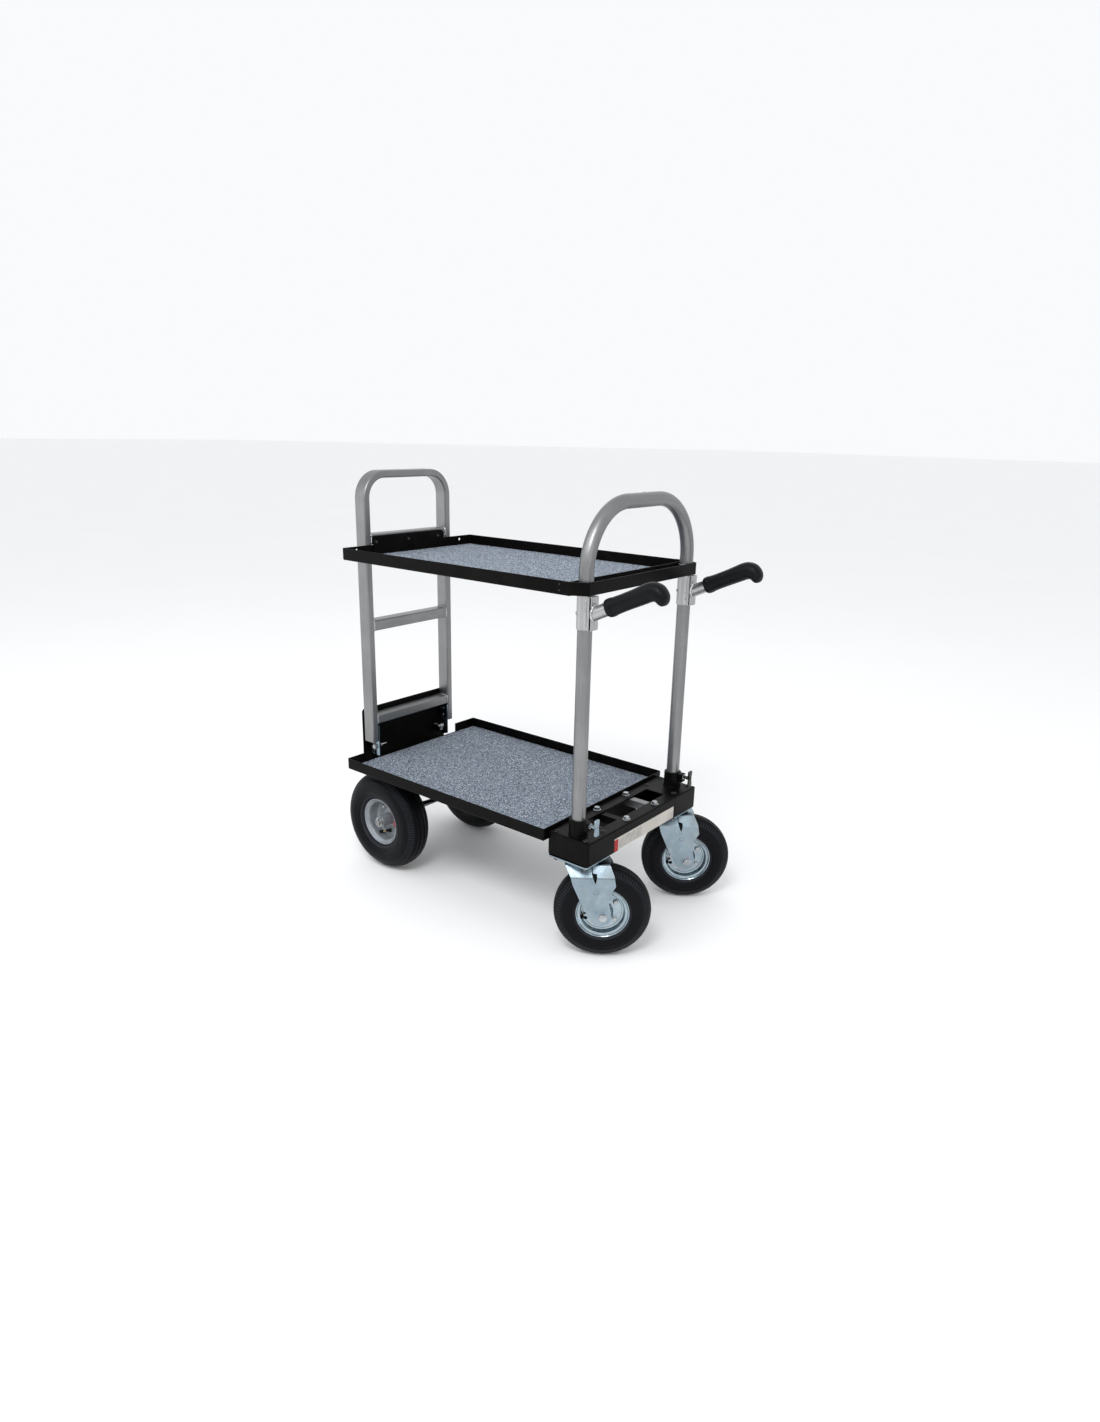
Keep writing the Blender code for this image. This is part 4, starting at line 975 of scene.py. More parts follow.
def loop_scale(i):
    """A mandrel bend flattens the tube a touch across the bend plane."""
    y, z = loop_path[i][1], loop_path[i][2]
    k = max(0.0, min(1.0, (z - zc) / bend))
    e = math.sin(math.pi * min(1.0, k * 1.05)) if k < 1 else 0.0
    return (1.0 - 0.030 * e, 1.0 + 0.012 * e)


parts = sweep(path, circle(POST_R, 48), X, ALU_Z, scale=loop_scale)
parts += lathe([(0, 0.0014), (0.0020, 0.0011), (0.0034, 0.0002), (0.0036, -0.0010), (0, -0.0010)],
               (post_x, 0.0, hi.z - 0.0001), Z, ZINC_DULL, 20)
piece("push_loop_tube", "upper_deck", parts, ["push_loop"], 50)

# ================================================================== push handles and grips
TILT = math.radians(24.9)
G = Vector((0.7246, 0, 0.8182))
D = Vector((math.cos(TILT), 0, math.sin(TILT)))
UPN = Vector((-math.sin(TILT), 0, math.cos(TILT)))
for side, s in SIDES:
    lo, hi = box("handle_" + side)
    y = s * post_y
    c = Vector((post_x, y, 0))
    z0, z1, R, B = lo.z, hi.z, 0.0182, 0.0162
    e = 0.0006
    parts = lathe([(B, z0 + e), (B + e, z0), (R - e, z0), (R, z0 + e), (R, z1 - e), (R - e, z1), (B + e, z1),
                   (B, z1 - e)], c, Z, CAST, 56, closed=True)
    zb = min(z1 - 0.0060, box("end_strap")[0].z - 0.0012)      # the block stops under the end strap
    parts += rbox((post_x + 0.0040 + 0.0135, y - 0.0130, z0), (post_x + 0.0245, y + 0.0130, zb), CAST, 0.0016, 3)
    # cheeks of the block run back onto the sleeve
    for k in (-1, 1):
        parts += rbox((post_x + 0.0105, y + k * 0.0130 - (0.0028 if k > 0 else 0), z0 + 0.0004),
                      (post_x + 0.0240, y + k * 0.0130 + (0.0028 if k < 0 else 0), zb - 0.0004), CAST, 0.0010, 2)
    start = G - D * ((G.x - (post_x + 0.0225)) / D.x)
    o = Vector((0, y, 0))
    length = (G - start).length + 0.070
    parts += lathe([(0, 0), (0.01425, 0), (0.01425, length), (0, length)], start + o, D, CAST, 40)
    # weld round the tube where it meets the block, with a heavy pass over the top
    face = post_x + 0.0250
    ring = []
    for k in range(36):
        th = math.tau * k / 36
        rad = Y * math.sin(th) + UPN * math.cos(th)
        p = start + o + rad * 0.0148
        p += D * ((face - p.x) / D.x)
        ring.append(p)
    parts += bead(ring, 0.0026, WELD, closed=True, seed=2 + s, ripple=0.0032)
    topseg = [ring[k] + D * 0.0014 + UPN * 0.0010 for k in (-7, -4, -2, 0, 2, 4, 7)]
    parts += bead(topseg, 0.0036, WELD, seed=21 + s, ripple=0.0036, steps=12)
    for k in (-1, 1):
        parts += bead([(post_x + 0.0105, y + k * 0.0138, z0 + 0.004), (post_x + 0.0110, y + k * 0.0140, z0 + 0.030),
                       (post_x + 0.0105, y + k * 0.0138, zb - 0.006)], 0.0016, WELD, seed=31 + s + k)
    # set screw in the sleeve's back
    parts += lathe([(0, 0.0008), (0.0016, 0.0008), (0.0018, 0.0022), (0.0032, 0.0022), (0.0036, 0.0016),
                    (0.0036, -0.0010), (0, -0.0010)], (post_x - R + 0.0003, y, 0.8000), (-1, 0, 0), ZINC_DULL, 24)
    parts += hex_head((post_x - 0.0128, y - 0.0128 * 1.0, 0.8005), (-1, -1, 0), 0.0065, 0.0018, ZINC_DULL)
    piece("handle_%s_sleeve" % side, "push_handle_" + side, parts, ["handle_" + side], 42)

    # grip: sections between an upper and a lower outline, each an ellipse across the cart
    rows = []
    for d, r in ((0.0000, 0.0150), (0.0006, 0.0172), (0.0022, 0.0190), (0.0060, 0.0197), (0.0120, 0.0195),
                 (0.0180, 0.0186), (0.0320, 0.0181), (0.0500, 0.0181), (0.0700, 0.0184)):
        c2 = G + D * d
        rows.append((c2.x + UPN.x * r, c2.z + UPN.z * r, c2.x - UPN.x * r, c2.z - UPN.z * r, r))
    rows += [(0.7981, 0.8735, 0.8141, 0.8390, 0.0190), (0.8110, 0.8800, 0.8240, 0.8435, 0.0195),
             (0.8240, 0.8838, 0.8310, 0.8458, 0.0198), (0.8360, 0.8833, 0.8365, 0.8462, 0.0196),
             (0.8460, 0.8800, 0.8400, 0.8447, 0.0190), (0.8540, 0.8735, 0.8425, 0.8427, 0.0180),
             (0.8597, 0.8655, 0.8450, 0.8410, 0.0164), (0.8620, 0.8570, 0.8478, 0.8398, 0.0140),
             (0.8610, 0.8482, 0.8510, 0.8395, 0.0104), (0.8584, 0.8430, 0.8545, 0.8405, 0.0050)]
    rows = catmull(rows, 5)
    verts, faces, rings = [], [], []
    for tx, tz, bx, bz, w in rows:
        m = Vector(((tx + bx) / 2, y, (tz + bz) / 2))
        up = Vector(((tx - bx) / 2, 0, (tz - bz) / 2))
        ring = []
        for k in range(40):
            th = math.tau * k / 40
            cs, sn = math.cos(th), math.sin(th)
            # a touch squarer than an ellipse
            q = (abs(cs) ** 2.3 + abs(sn) ** 2.3) ** (-1 / 2.3)
            ring.append(len(verts))
            verts.append(m + up * cs * q + Y * (w * sn * q))
        rings.append(ring)
    for p, q in zip(rings, rings[1:]):
        for i in range(40):
            j = (i + 1) % 40
            faces.append([p[i], p[j], q[j], q[i]])
    faces.append(list(reversed(rings[0])))
    tip = len(verts)
    m = Vector((rows[-1][0] + rows[-1][2], 0, rows[-1][1] + rows[-1][3])) / 2
    verts.append(Vector((m.x + 0.0004, y, m.z - 0.0003)))
    for i in range(40):
        faces.append([rings[-1][i], rings[-1][(i + 1) % 40], tip])
    piece("grip_%s_moulding" % side, "push_handle_" + side, shape(verts, faces, VINYL), ["grip_" + side],
          60, weighted=False)

# ================================================================== base frame
for side, s in SIDES:
    lo, hi = box("frame_rail_" + side)
    piece("frame_rail_%s_tube" % side, "chassis", hollow_bar(lo, hi, 0, 0.0022, 0.0024, ALU_X, 0.05),
          ["frame_rail_" + side])
    lo, hi = box("link_bar_" + side)
    # the near link bar takes the black powder coat and the far one aluminium: painted shade, a dark copy of the same
    # bar where it lies in shade
    bar = plate(fillet([(lo.x, lo.y), (hi.x, lo.y), (hi.x, hi.y), (lo.x, hi.y)], 0.001, 3, True),
                [ring_hole(0.6180, s * 0.06, 0.0043), ring_hole(0.7020, s * 0.06, 0.0043)], lo.z, hi.z, XY, ALU_X if s > 0 else BLACK, 0.0008)
    piece("link_bar_%s_flat" % side, "chassis", bar, ["link_bar_" + side])
for where in ("rear", "mid"):
    lo, hi = box("cross_member_" + where)
    piece("cross_member_%s_tube" % where, "chassis", hollow_bar(lo, hi, 1, 0.0022, 0.0024, ALU_Y, 0.01),
          ["cross_member_" + where])

lo, hi = box("front_cross_bar")
# the bar's brighter aluminium is painted light
parts = hollow_bar(lo, hi, 1, 0.0022, 0.0022, ALU_BAR_PAINTED_LIGHT, 0.02)
# a blank label and a red end block on its front face
parts += plate(fillet([(-0.1060, lo.z + 0.0045), (-0.0150, lo.z + 0.0045), (-0.0150, hi.z - 0.0045),
                       (-0.1060, hi.z - 0.0045)], 0.0015, 4, True), [], hi.x - 0.0001, hi.x + 0.0004, YZ, LABEL, 0.0001, 1)
parts += rbox((hi.x - 0.0006, -0.1275, lo.z - 0.0002), (hi.x + 0.0011, -0.1120, hi.z - 0.0040), RED, 0.0006, 2)
piece("front_cross_bar_tube", "chassis", parts, ["front_cross_bar"])


def angle_section(x0, x1, z0, z1, t, flange_at_x1):
    """An angle section with a rounded fold and rounded toes, in X and Z."""
    if flange_at_x1:
        pts = [(x0, z1 - t), (x1 - t, z1 - t), (x1 - t, z0), (x1, z0), (x1, z1), (x0, z1)]
        rad = [0.0006, 0.0008, 0.0006, 0.0006, 0.0034, 0.0006]
    else:
        pts = [(x0, z0), (x0 + t, z0), (x0 + t, z1 - t), (x1, z1 - t), (x1, z1), (x0, z1)]
        rad = [0.0006, 0.0006, 0.0008, 0.0006, 0.0006, 0.0034]
    return fillet(pts, rad, 5, True)


for name, at_x1 in (("inner_beam", False), ("front_beam", True)):
    lo, hi = box(name)
    sec = angle_section(lo.x, hi.x, lo.z if at_x1 else lo.z - 0.0095, hi.z, 0.003, at_x1)
    piece(name + "_angle", "chassis", plate(sec, [], -hi.y, -lo.y, XZ, BLACK, 0.0004, 1), [name])
for side, s in SIDES:
    for which, bx in (("inner", 0.6180), ("front", 0.7020)):
        lo, hi = box("frame_bolt_%s_%s" % (which, side))
        base = box("front_beam")[1].z
        parts = hex_bolt((bx, s * 0.06, base + 0.0002), Z, 0.0125, 0.0058, ZINC_DULL, washer_r=0.0092, washer_t=0.0016,
                         ref=(math.cos(0.3 + s), math.sin(0.3 + s), 0), shank=(0.0039, base - lo.z))
        parts += lathe([(0, 0.0002), (0.0030, 0.0001), (0.0034, 0)], (bx, s * 0.06, base + 0.0077), Z, ZINC_DULL, 16)
        piece("frame_bolt_%s_%s_hex" % (which, side), "chassis", parts, ["frame_bolt_%s_%s" % (which, side)])

# ================================================================== caster boxes, sockets, plates
BOLT_PAT = ((-0.0400, -0.0320), (-0.0400, 0.0320), (0.0400, -0.0320), (0.0400, 0.0320))
SWIVEL_X, SWIVEL_Y = 0.6600, 0.1830
for side, s in SIDES:
    lo, hi = box("caster_box_" + side)
    y_in, y_out = 0.1280, 0.2268
    z0, z1, t = 0.2460, 0.3028, 0.0030
    x0, x1 = lo.x, hi.x
    # outer skin: a five-sided box with rounded folds, open towards the middle
    bm = bmesh.new()
    bmesh.ops.create_cube(bm, size=1.0)
    a, b = Vector((x0, min(s * y_in, s * y_out), z0)), Vector((x1, max(s * y_in, s * y_out), z1))
    bmesh.ops.scale(bm, vec=b - a, verts=bm.verts)
    bmesh.ops.translate(bm, vec=(a + b) / 2, verts=bm.verts)
    bm.normal_update()
    bmesh.ops.delete(bm, geom=[f for f in bm.faces if f.normal.y * s < -0.9], context="FACES_ONLY")
    edges = [e for e in bm.edges if not e.is_boundary]
    bmesh.ops.bevel(bm, geom=edges, offset=0.0038, segments=4, profile=0.5, affect="EDGES", clamp_overlap=True)
    bm.normal_update()
    outward = sum((f.calc_center_median() - (a + b) / 2).dot(f.normal) for f in bm.faces)
    if outward < 0:
        bmesh.ops.reverse_faces(bm, faces=bm.faces)
    me = bpy.data.meshes.new("tmp_box")
    bm.to_mesh(me)
    bm.free()
    tmp = bpy.data.objects.new("tmp_box", me)
    bpy.context.scene.collection.objects.link(tmp)
    mod = tmp.modifiers.new("sheet", "SOLIDIFY")
    mod.thickness, mod.offset, mod.use_even_offset = t, -1.0, True
    mod = tmp.modifiers.new("edge", "BEVEL")
    mod.width, mod.segments, mod.limit_method, mod.angle_limit = 0.0005, 2, "ANGLE", math.radians(50)
    fm = bpy.data.meshes.new_from_object(tmp.evaluated_get(bpy.context.evaluated_depsgraph_get()))
    parts = [([v.co.copy() for v in fm.vertices], [list(p.vertices) for p in fm.polygons], BLACK)]
    bpy.data.objects.remove(tmp, do_unlink=True)
    # socket tube with a rolled lip and the weld at its foot
    R, B, zt = 0.0210, 0.0163, 0.3400
    c = Vector((post_x, s * post_y, 0))
    e = 0.0008
    parts += lathe([(B, z1 - 0.004), (B, zt - e), (B + e, zt), (R - e, zt), (R, zt - e), (R, z1 - 0.001), (R + 0.0004, z1 - 0.004)],
                   c, Z, BLACK, 56, closed=True)
    ring = [(c.x + (R + 0.0006) * math.cos(math.tau * k / 48), c.y + (R + 0.0006) * math.sin(math.tau * k / 48), z1 + 0.0003)
            for k in range(48)]
    parts += bead(ring, 0.0017, BLACK, closed=True, seed=40 + s, ripple=0.0034)
    # clamp ear with the lock screw's nut
    parts += rbox((c.x + 0.0165, c.y - 0.0090, 0.3180), (c.x + 0.0325, c.y + 0.0090, zt - 0.0005), BLACK, 0.0020, 3)
    parts += washer((c.x + 0.0325, c.y, 0.3320), X, 0.0041, 0.0062, 0.0008, ZINC_DULL)
    piece("caster_box_%s_shell" % side, "chassis", parts, ["caster_box_" + side], 40)

    # caster plate: rounded plate, double race, king pin, four bolts through the box top and bottom
    lo, hi = box("caster_plate_" + side)
    top = z0 - 0.0003
    cx, cy = SWIVEL_X, s * SWIVEL_Y
    out = fillet([(cx - 0.0545, cy - 0.0455), (cx + 0.0545, cy - 0.0455), (cx + 0.0545, cy + 0.0455), (cx - 0.0545, cy + 0.0455)],
                 0.007, 6, True)
    parts = plate(out, [], top - 0.0038, top, XY, ZINC, 0.0006)
    parts += lathe([(0, top - 0.0036), (0.0375, top - 0.0036), (0.0385, top - 0.0050), (0.0375, top - 0.0066),
                    (0.0350, top - 0.0072), (0.0345, 0.2362), (0.0325, 0.2350), (0.0, 0.2350)], (cx, cy, 0), Z, ZINC, 56)
    parts += hex_head((cx, cy, 0.2320), (0, 0, -1), 0.0190, 0.0070, ZINC_DULL)
    parts += lathe([(0, 0), (0.0055, 0), (0.0055, -0.0030), (0.0046, -0.0040), (0, -0.0040)], (cx, cy, 0.2258), Z, ZINC_DULL, 20)
    piece("caster_plate_%s_race" % side, "chassis", parts, ["caster_plate_" + side])

    # plate bolts: black nuts under the plate and low heads on the box top
    parts = []
    for k, (dx, dy) in enumerate(BOLT_PAT):
        px, py = cx + dx, cy + dy
        if abs(py) < y_out - 0.006:
            parts += hex_bolt((px, py, top - 0.0038), (0, 0, -1), 0.0115, 0.0056, DARK_STEEL, washer_r=0.0082,
                              washer_t=0.0014, ref=(math.cos(k * 1.1), math.sin(k * 1.1), 0))
            parts += threads((px, py, top - 0.0108), (0, 0, -1), 0.0036, 0.0035, ZINC_DULL)
            away = math.hypot(px - post_x, abs(py) - post_y)
            if away > 0.032:
                parts += lathe([(0, 0.0030), (0.0022, 0.0029), (0.0048, 0.0021), (0.0064, 0.0006), (0.0066, -0.0002), (0, -0.0002)],
                               (px, py, z1 + 0.0001), Z, DARK_STEEL, 28)
    piece("caster_plate_bolts_%s" % side, "chassis", parts)

    # lock screw: shank, boss and a flat bow-tie wing standing upright
    lo, hi = box("lock_screw_" + side)
    cz, cyy, wx = 0.3320, s * post_y, hi.x - 0.0034
    # the far lock screw takes the near-black zinc: painted shade on a copy of the near screw's bright zinc
    metal = ZINC if s < 0 else ZINC_DARK_AND_SHADE
    parts = lathe([(0, 0), (0.0037, 0), (0.0037, hi.x - lo.x - 0.0006), (0.0031, hi.x - lo.x), (0, hi.x - lo.x)],
                  (lo.x, cyy, cz), X, metal, 20)
    parts += threads((post_x + 0.0335, cyy, cz), X, 0.0037, 0.0070, metal)
    parts += lathe([(0, 0), (0.0040, 0), (0.0047, 0.0010), (0.0047, 0.0076), (0, 0.0078)], (wx - 0.0094, cyy, cz), X, metal, 28)
    half_l = (hi.z - lo.z) / 2
    wing = fillet([(-half_l, -0.0060), (-half_l + 0.0022, -0.0078), (-0.0095, -0.0072), (0.0, -0.0050), (0.0095, -0.0072),
                   (half_l - 0.0022, -0.0078), (half_l, -0.0060), (half_l, 0.0060), (half_l - 0.0022, 0.0078), (0.0095, 0.0072),
                   (0.0, 0.0050), (-0.0095, 0.0072), (-half_l + 0.0022, 0.0078), (-half_l, 0.0060)],
                  [0.0014, 0.0020, 0.006, 0.004, 0.006, 0.0020, 0.0014, 0.0014, 0.0020, 0.006, 0.004, 0.006, 0.0020, 0.0014], 5, True)
    parts += plate(wing, [], -0.0022, 0.0022, place_matrix((wx, cyy, cz), Z, Y, -X), metal, 0.0010, 3)
    piece("lock_screw_%s_wing" % side, "socket_lock_" + side, parts, ["lock_screw_" + side])

# ================================================================== nose plate, lugs, foot bolts, wing nuts
lo, hi = box("nose_plate")
nose_x1 = -0.1110
out = fillet([(-hi.y, lo.z), (hi.y, lo.z), (hi.y, hi.z), (-hi.y, hi.z)], [0.003, 0.003, 0.010, 0.010], 6, True)
parts = plate(out, [], lo.x, nose_x1, YZ, BLACK, 0.0006)
fold = fillet([(nose_x1 - 0.002, lo.z), (hi.x, lo.z), (hi.x, lo.z + 0.003), (nose_x1, lo.z + 0.003)], [0, 0.0006, 0.0006, 0], 3, True)
parts += plate(fold, [], -0.1123, 0.1123, XZ, BLACK, 0.0004, 1)
parts += bead([(nose_x1 + 0.0010, -0.110, lo.z + 0.0038), (nose_x1 + 0.0010, 0.110, lo.z + 0.0038)], 0.0016, BLACK, seed=77)
piece("nose_plate_panel", "chassis", parts, ["nose_plate"])

for side, s in SIDES:
    lo, hi = box("nose_lug_" + side)
    out = fillet([(lo.x, lo.z), (hi.x, lo.z), (hi.x, 0.3180), (-0.0820, hi.z), (lo.x, hi.z)], [0.0006, 0.001, 0.003, 0.003, 0.0006], 4, True)
    m = place_matrix((0, 0, 0), X, Z, Y)
    parts = plate(out, [ring_hole(-0.0885, 0.3120, 0.0044)], lo.y, hi.y, m, BLACK, 0.0006)
    for k in (lo.y, hi.y):
        parts += bead([(lo.x + 0.0004, k, lo.z + 0.003), (lo.x + 0.0004, k, hi.z - 0.003)], 0.0014, BLACK, seed=50 + s)
    piece("nose_lug_%s_plate" % side, "chassis", parts, ["nose_lug_" + side])

    at = Vector((-0.0885, 0, 0.3120))
    parts = hex_bolt(at + Y * s * 0.1331, (0, s, 0), 0.0125, 0.0046, ZINC_DULL, washer_r=0.0088, washer_t=0.0012, shank=(0.0038, 0.0235))
    parts += threads(at + Y * s * 0.1125, (0, -s, 0), 0.0038, 0.0040, ZINC_DULL)
    piece("foot_bolt_%s_hex" % side, "chassis", parts, ["foot_bolt_" + side])

    # wing nut: a turned boss and two pressed wings
    parts = lathe([(0.0042, 0.1128), (0.0056, 0.1125), (0.0064, 0.1140), (0.0072, 0.1200), (0.0086, 0.1226), (0.0086, 0.1234),
                   (0.0042, 0.1234)], at if s > 0 else at, (0, s, 0), ZINC_DULL, 32, closed=True)
    tiltm = Matrix.Translation(at) @ Matrix.Rotation(math.radians(28) * s, 4, "Y")
    for sx in (-1, 1):
        w = fillet([(sx * 0.0044, 0.1130), (sx * 0.0118, 0.1036), (sx * 0.0158, 0.1033), (sx * 0.0175, 0.1072),
                    (sx * 0.0118, 0.1188), (sx * 0.0044, 0.1225)], [0, 0.006, 0.002, 0.004, 0.012, 0], 5, True)
        m = tiltm @ place_matrix((0, 0, 0), X, Y * s, X.cross(Y * s))
        parts += plate(w, [], -0.0013, 0.0013, m, ZINC_DULL, 0.0007, 3)
    piece("wing_nut_%s_pressed" % side, "foot_nut_" + side, parts, ["wing_nut_" + side])

# ================================================================== rear axle, brackets, braces
lo, hi = box("rear_axle")
parts = lathe([(0, lo.y), (0.0069, lo.y), (0.0079, lo.y + 0.0010), (0.0079, hi.y - 0.0010), (0.0069, hi.y), (0, hi.y)],
              (0, 0, AXLE_Z), Y, STEEL, 40)
for s in (-1, 1):
    parts += washer((0, s * 0.2060, AXLE_Z), (0, -s, 0), 0.0080, 0.0128, 0.0022, ZINC_DULL, 40)
    parts += washer((0, s * 0.1348, AXLE_Z), (0, -s, 0), 0.0080, 0.0122, 0.0156, BLACK, 40)
    # cotter pin through the axle's end
    p = Vector((0, s * 0.2088, AXLE_Z))
    parts += lathe([(0, -0.0105), (0.0014, -0.0105), (0.0014, 0.0100), (0, 0.0100)], p, Z, ZINC_DULL, 12)
    parts += bead([p + Vector((0.0022 * math.cos(a), 0.0, 0.0118 + 0.0022 * math.sin(a))) for a in np.linspace(0, math.tau, 16)[:-1]],
                  0.0010, ZINC_DULL, closed=True, seed=9)
    parts += bead([p - Z * 0.0100, p - Z * 0.0122 + X * 0.0022, p - Z * 0.0124 + X * 0.0044], 0.0011, ZINC_DULL, seed=3)
piece("rear_axle_rod", "chassis", parts, ["rear_axle"])

for side, s in SIDES:
    lo, hi = box("axle_bracket_" + side)
    pts = ([(-0.0500, hi.z), (-0.0500, 0.2450)] + arc(0, AXLE_Z, 0.020, 195, 345, 16) + [(0.0700, 0.2450), (0.0700, hi.z)])
    pts = fillet(pts, [0.001, 0.006] + [0] * 17 + [0.006, 0.001], 5, True)
    m = place_matrix((0, 0, 0), X, Z, Y)
    parts = plate(pts, [ring_hole(0, AXLE_Z, 0.0081, 32)], lo.y, hi.y, m, BLACK, 0.0010, 3)
    piece("axle_bracket_%s_plate" % side, "chassis", parts, ["axle_bracket_" + side])
    y = s * 0.1060
    a, b = Vector((0.024, y, 0.1560)), Vector((0.196, y, 0.2410))
    parts = lathe([(0, 0), (0.0055, 0), (0.0055, (b - a).length), (0, (b - a).length)], a, b - a, BLACK, 24)
    # flattened ends
    for p, k in ((a, 1), (b, -1)):
        d = (b - a).normalized() * k
        u = Y.cross(d)
        m = place_matrix(p - d * 0.006, d, u, Y)
        parts += plate(fillet([(0.0, -0.0075), (0.018, -0.0058), (0.018, 0.0058), (0.0, 0.0075)], 0.003, 5, True), [],
                       -0.0022, 0.0022, m, BLACK, 0.0007)
    piece("axle_brace_%s_rod" % side, "chassis", parts, ["axle_brace_" + side])


# ================================================================== tyres
def tyre(name, node, body, centre, axis, R, half, crown, side_pts, bead_pts, sipes, groove_h, sipe_range):
    """A pneumatic tyre: smooth carcass, circumferential grooves and saw-tooth sipes on its shoulders."""
    drop, at, power, edge = crown
    hs = [0.0]
    for g, w in groove_h:
        hs += [g - w / 2 - 0.0005, g - w / 2 + 0.0002, g, g + w / 2 - 0.0002, g + w / 2 + 0.0005]
    hs += list(np.linspace(sipe_range[0] - 0.0004, sipe_range[1] + 0.0004, 9)) + [sipe_range[0], sipe_range[1]]
    hs += [edge, edge * 0.97]
    hs = sorted(set(round(h, 5) for h in hs if 0 <= h <= edge + 1e-9))
    half_prof = [(R - drop * (h / at) ** power, h) for h in hs]
    side = catmull([half_prof[-2], half_prof[-1]] + list(side_pts), 6)[7:]
    half_prof += [tuple(p) for p in side] + list(bead_pts)
    prof = [(r, -h) for r, h in reversed(half_prof)] + half_prof[1:]
    n_angle = sipes * 4

    def shaped(k, r, h, th):
        ah = abs(h)
        rr, hh = r, h
        if ah <= edge + 1e-6:
            for g, w in groove_h:
                if abs(ah - g) < w / 2:
                    rr -= 0.0022
            if sipe_range[0] <= ah <= sipe_range[1]:
                ph = (th * sipes / math.tau + 0.35 * (ah - sipe_range[0]) / (sipe_range[1] - sipe_range[0])) % 1.0
                if ph < 0.30:
                    f = min(1.0, (ah - sipe_range[0]) / 0.002, (sipe_range[1] - ah) / 0.002 + 0.3)
                    rr -= 0.0019 * f
                    hh -= math.copysign(0.0005 * f, h)
        return rr, hh

    verts, faces, _ = lathe(prof, centre, axis, RUBBER, n_angle, radius_of=shaped, closed=True)[0]
    plain, cut = [], []
    for f in faces:                              # the sipes' floors are paler rubber: a painted highlight for the light lines along the sipes
        p = sum((Vector(verts[i]) for i in f), Vector()) / len(f) - centre
        ah = abs(p.dot(axis))
        r = (p - axis * p.dot(axis)).length
        deep = R - drop * (ah / at) ** power - r
        (cut if sipe_range[0] < ah < sipe_range[1] and deep > 0.0007 else plain).append(f)
    parts = shape(verts, plain, RUBBER) + shape(verts, cut, RUBBER_SIPE_HIGHLIGHT)
    return piece(name, body, parts, [node], 42, weighted=False)


def rolled(r, h, w, n=5):
    """A rolled rim lip as profile points going outwards over the edge."""
    return [(r + w * math.cos(a), h + w * math.sin(a)) for a in np.linspace(-0.3, math.pi - 0.4, n)]


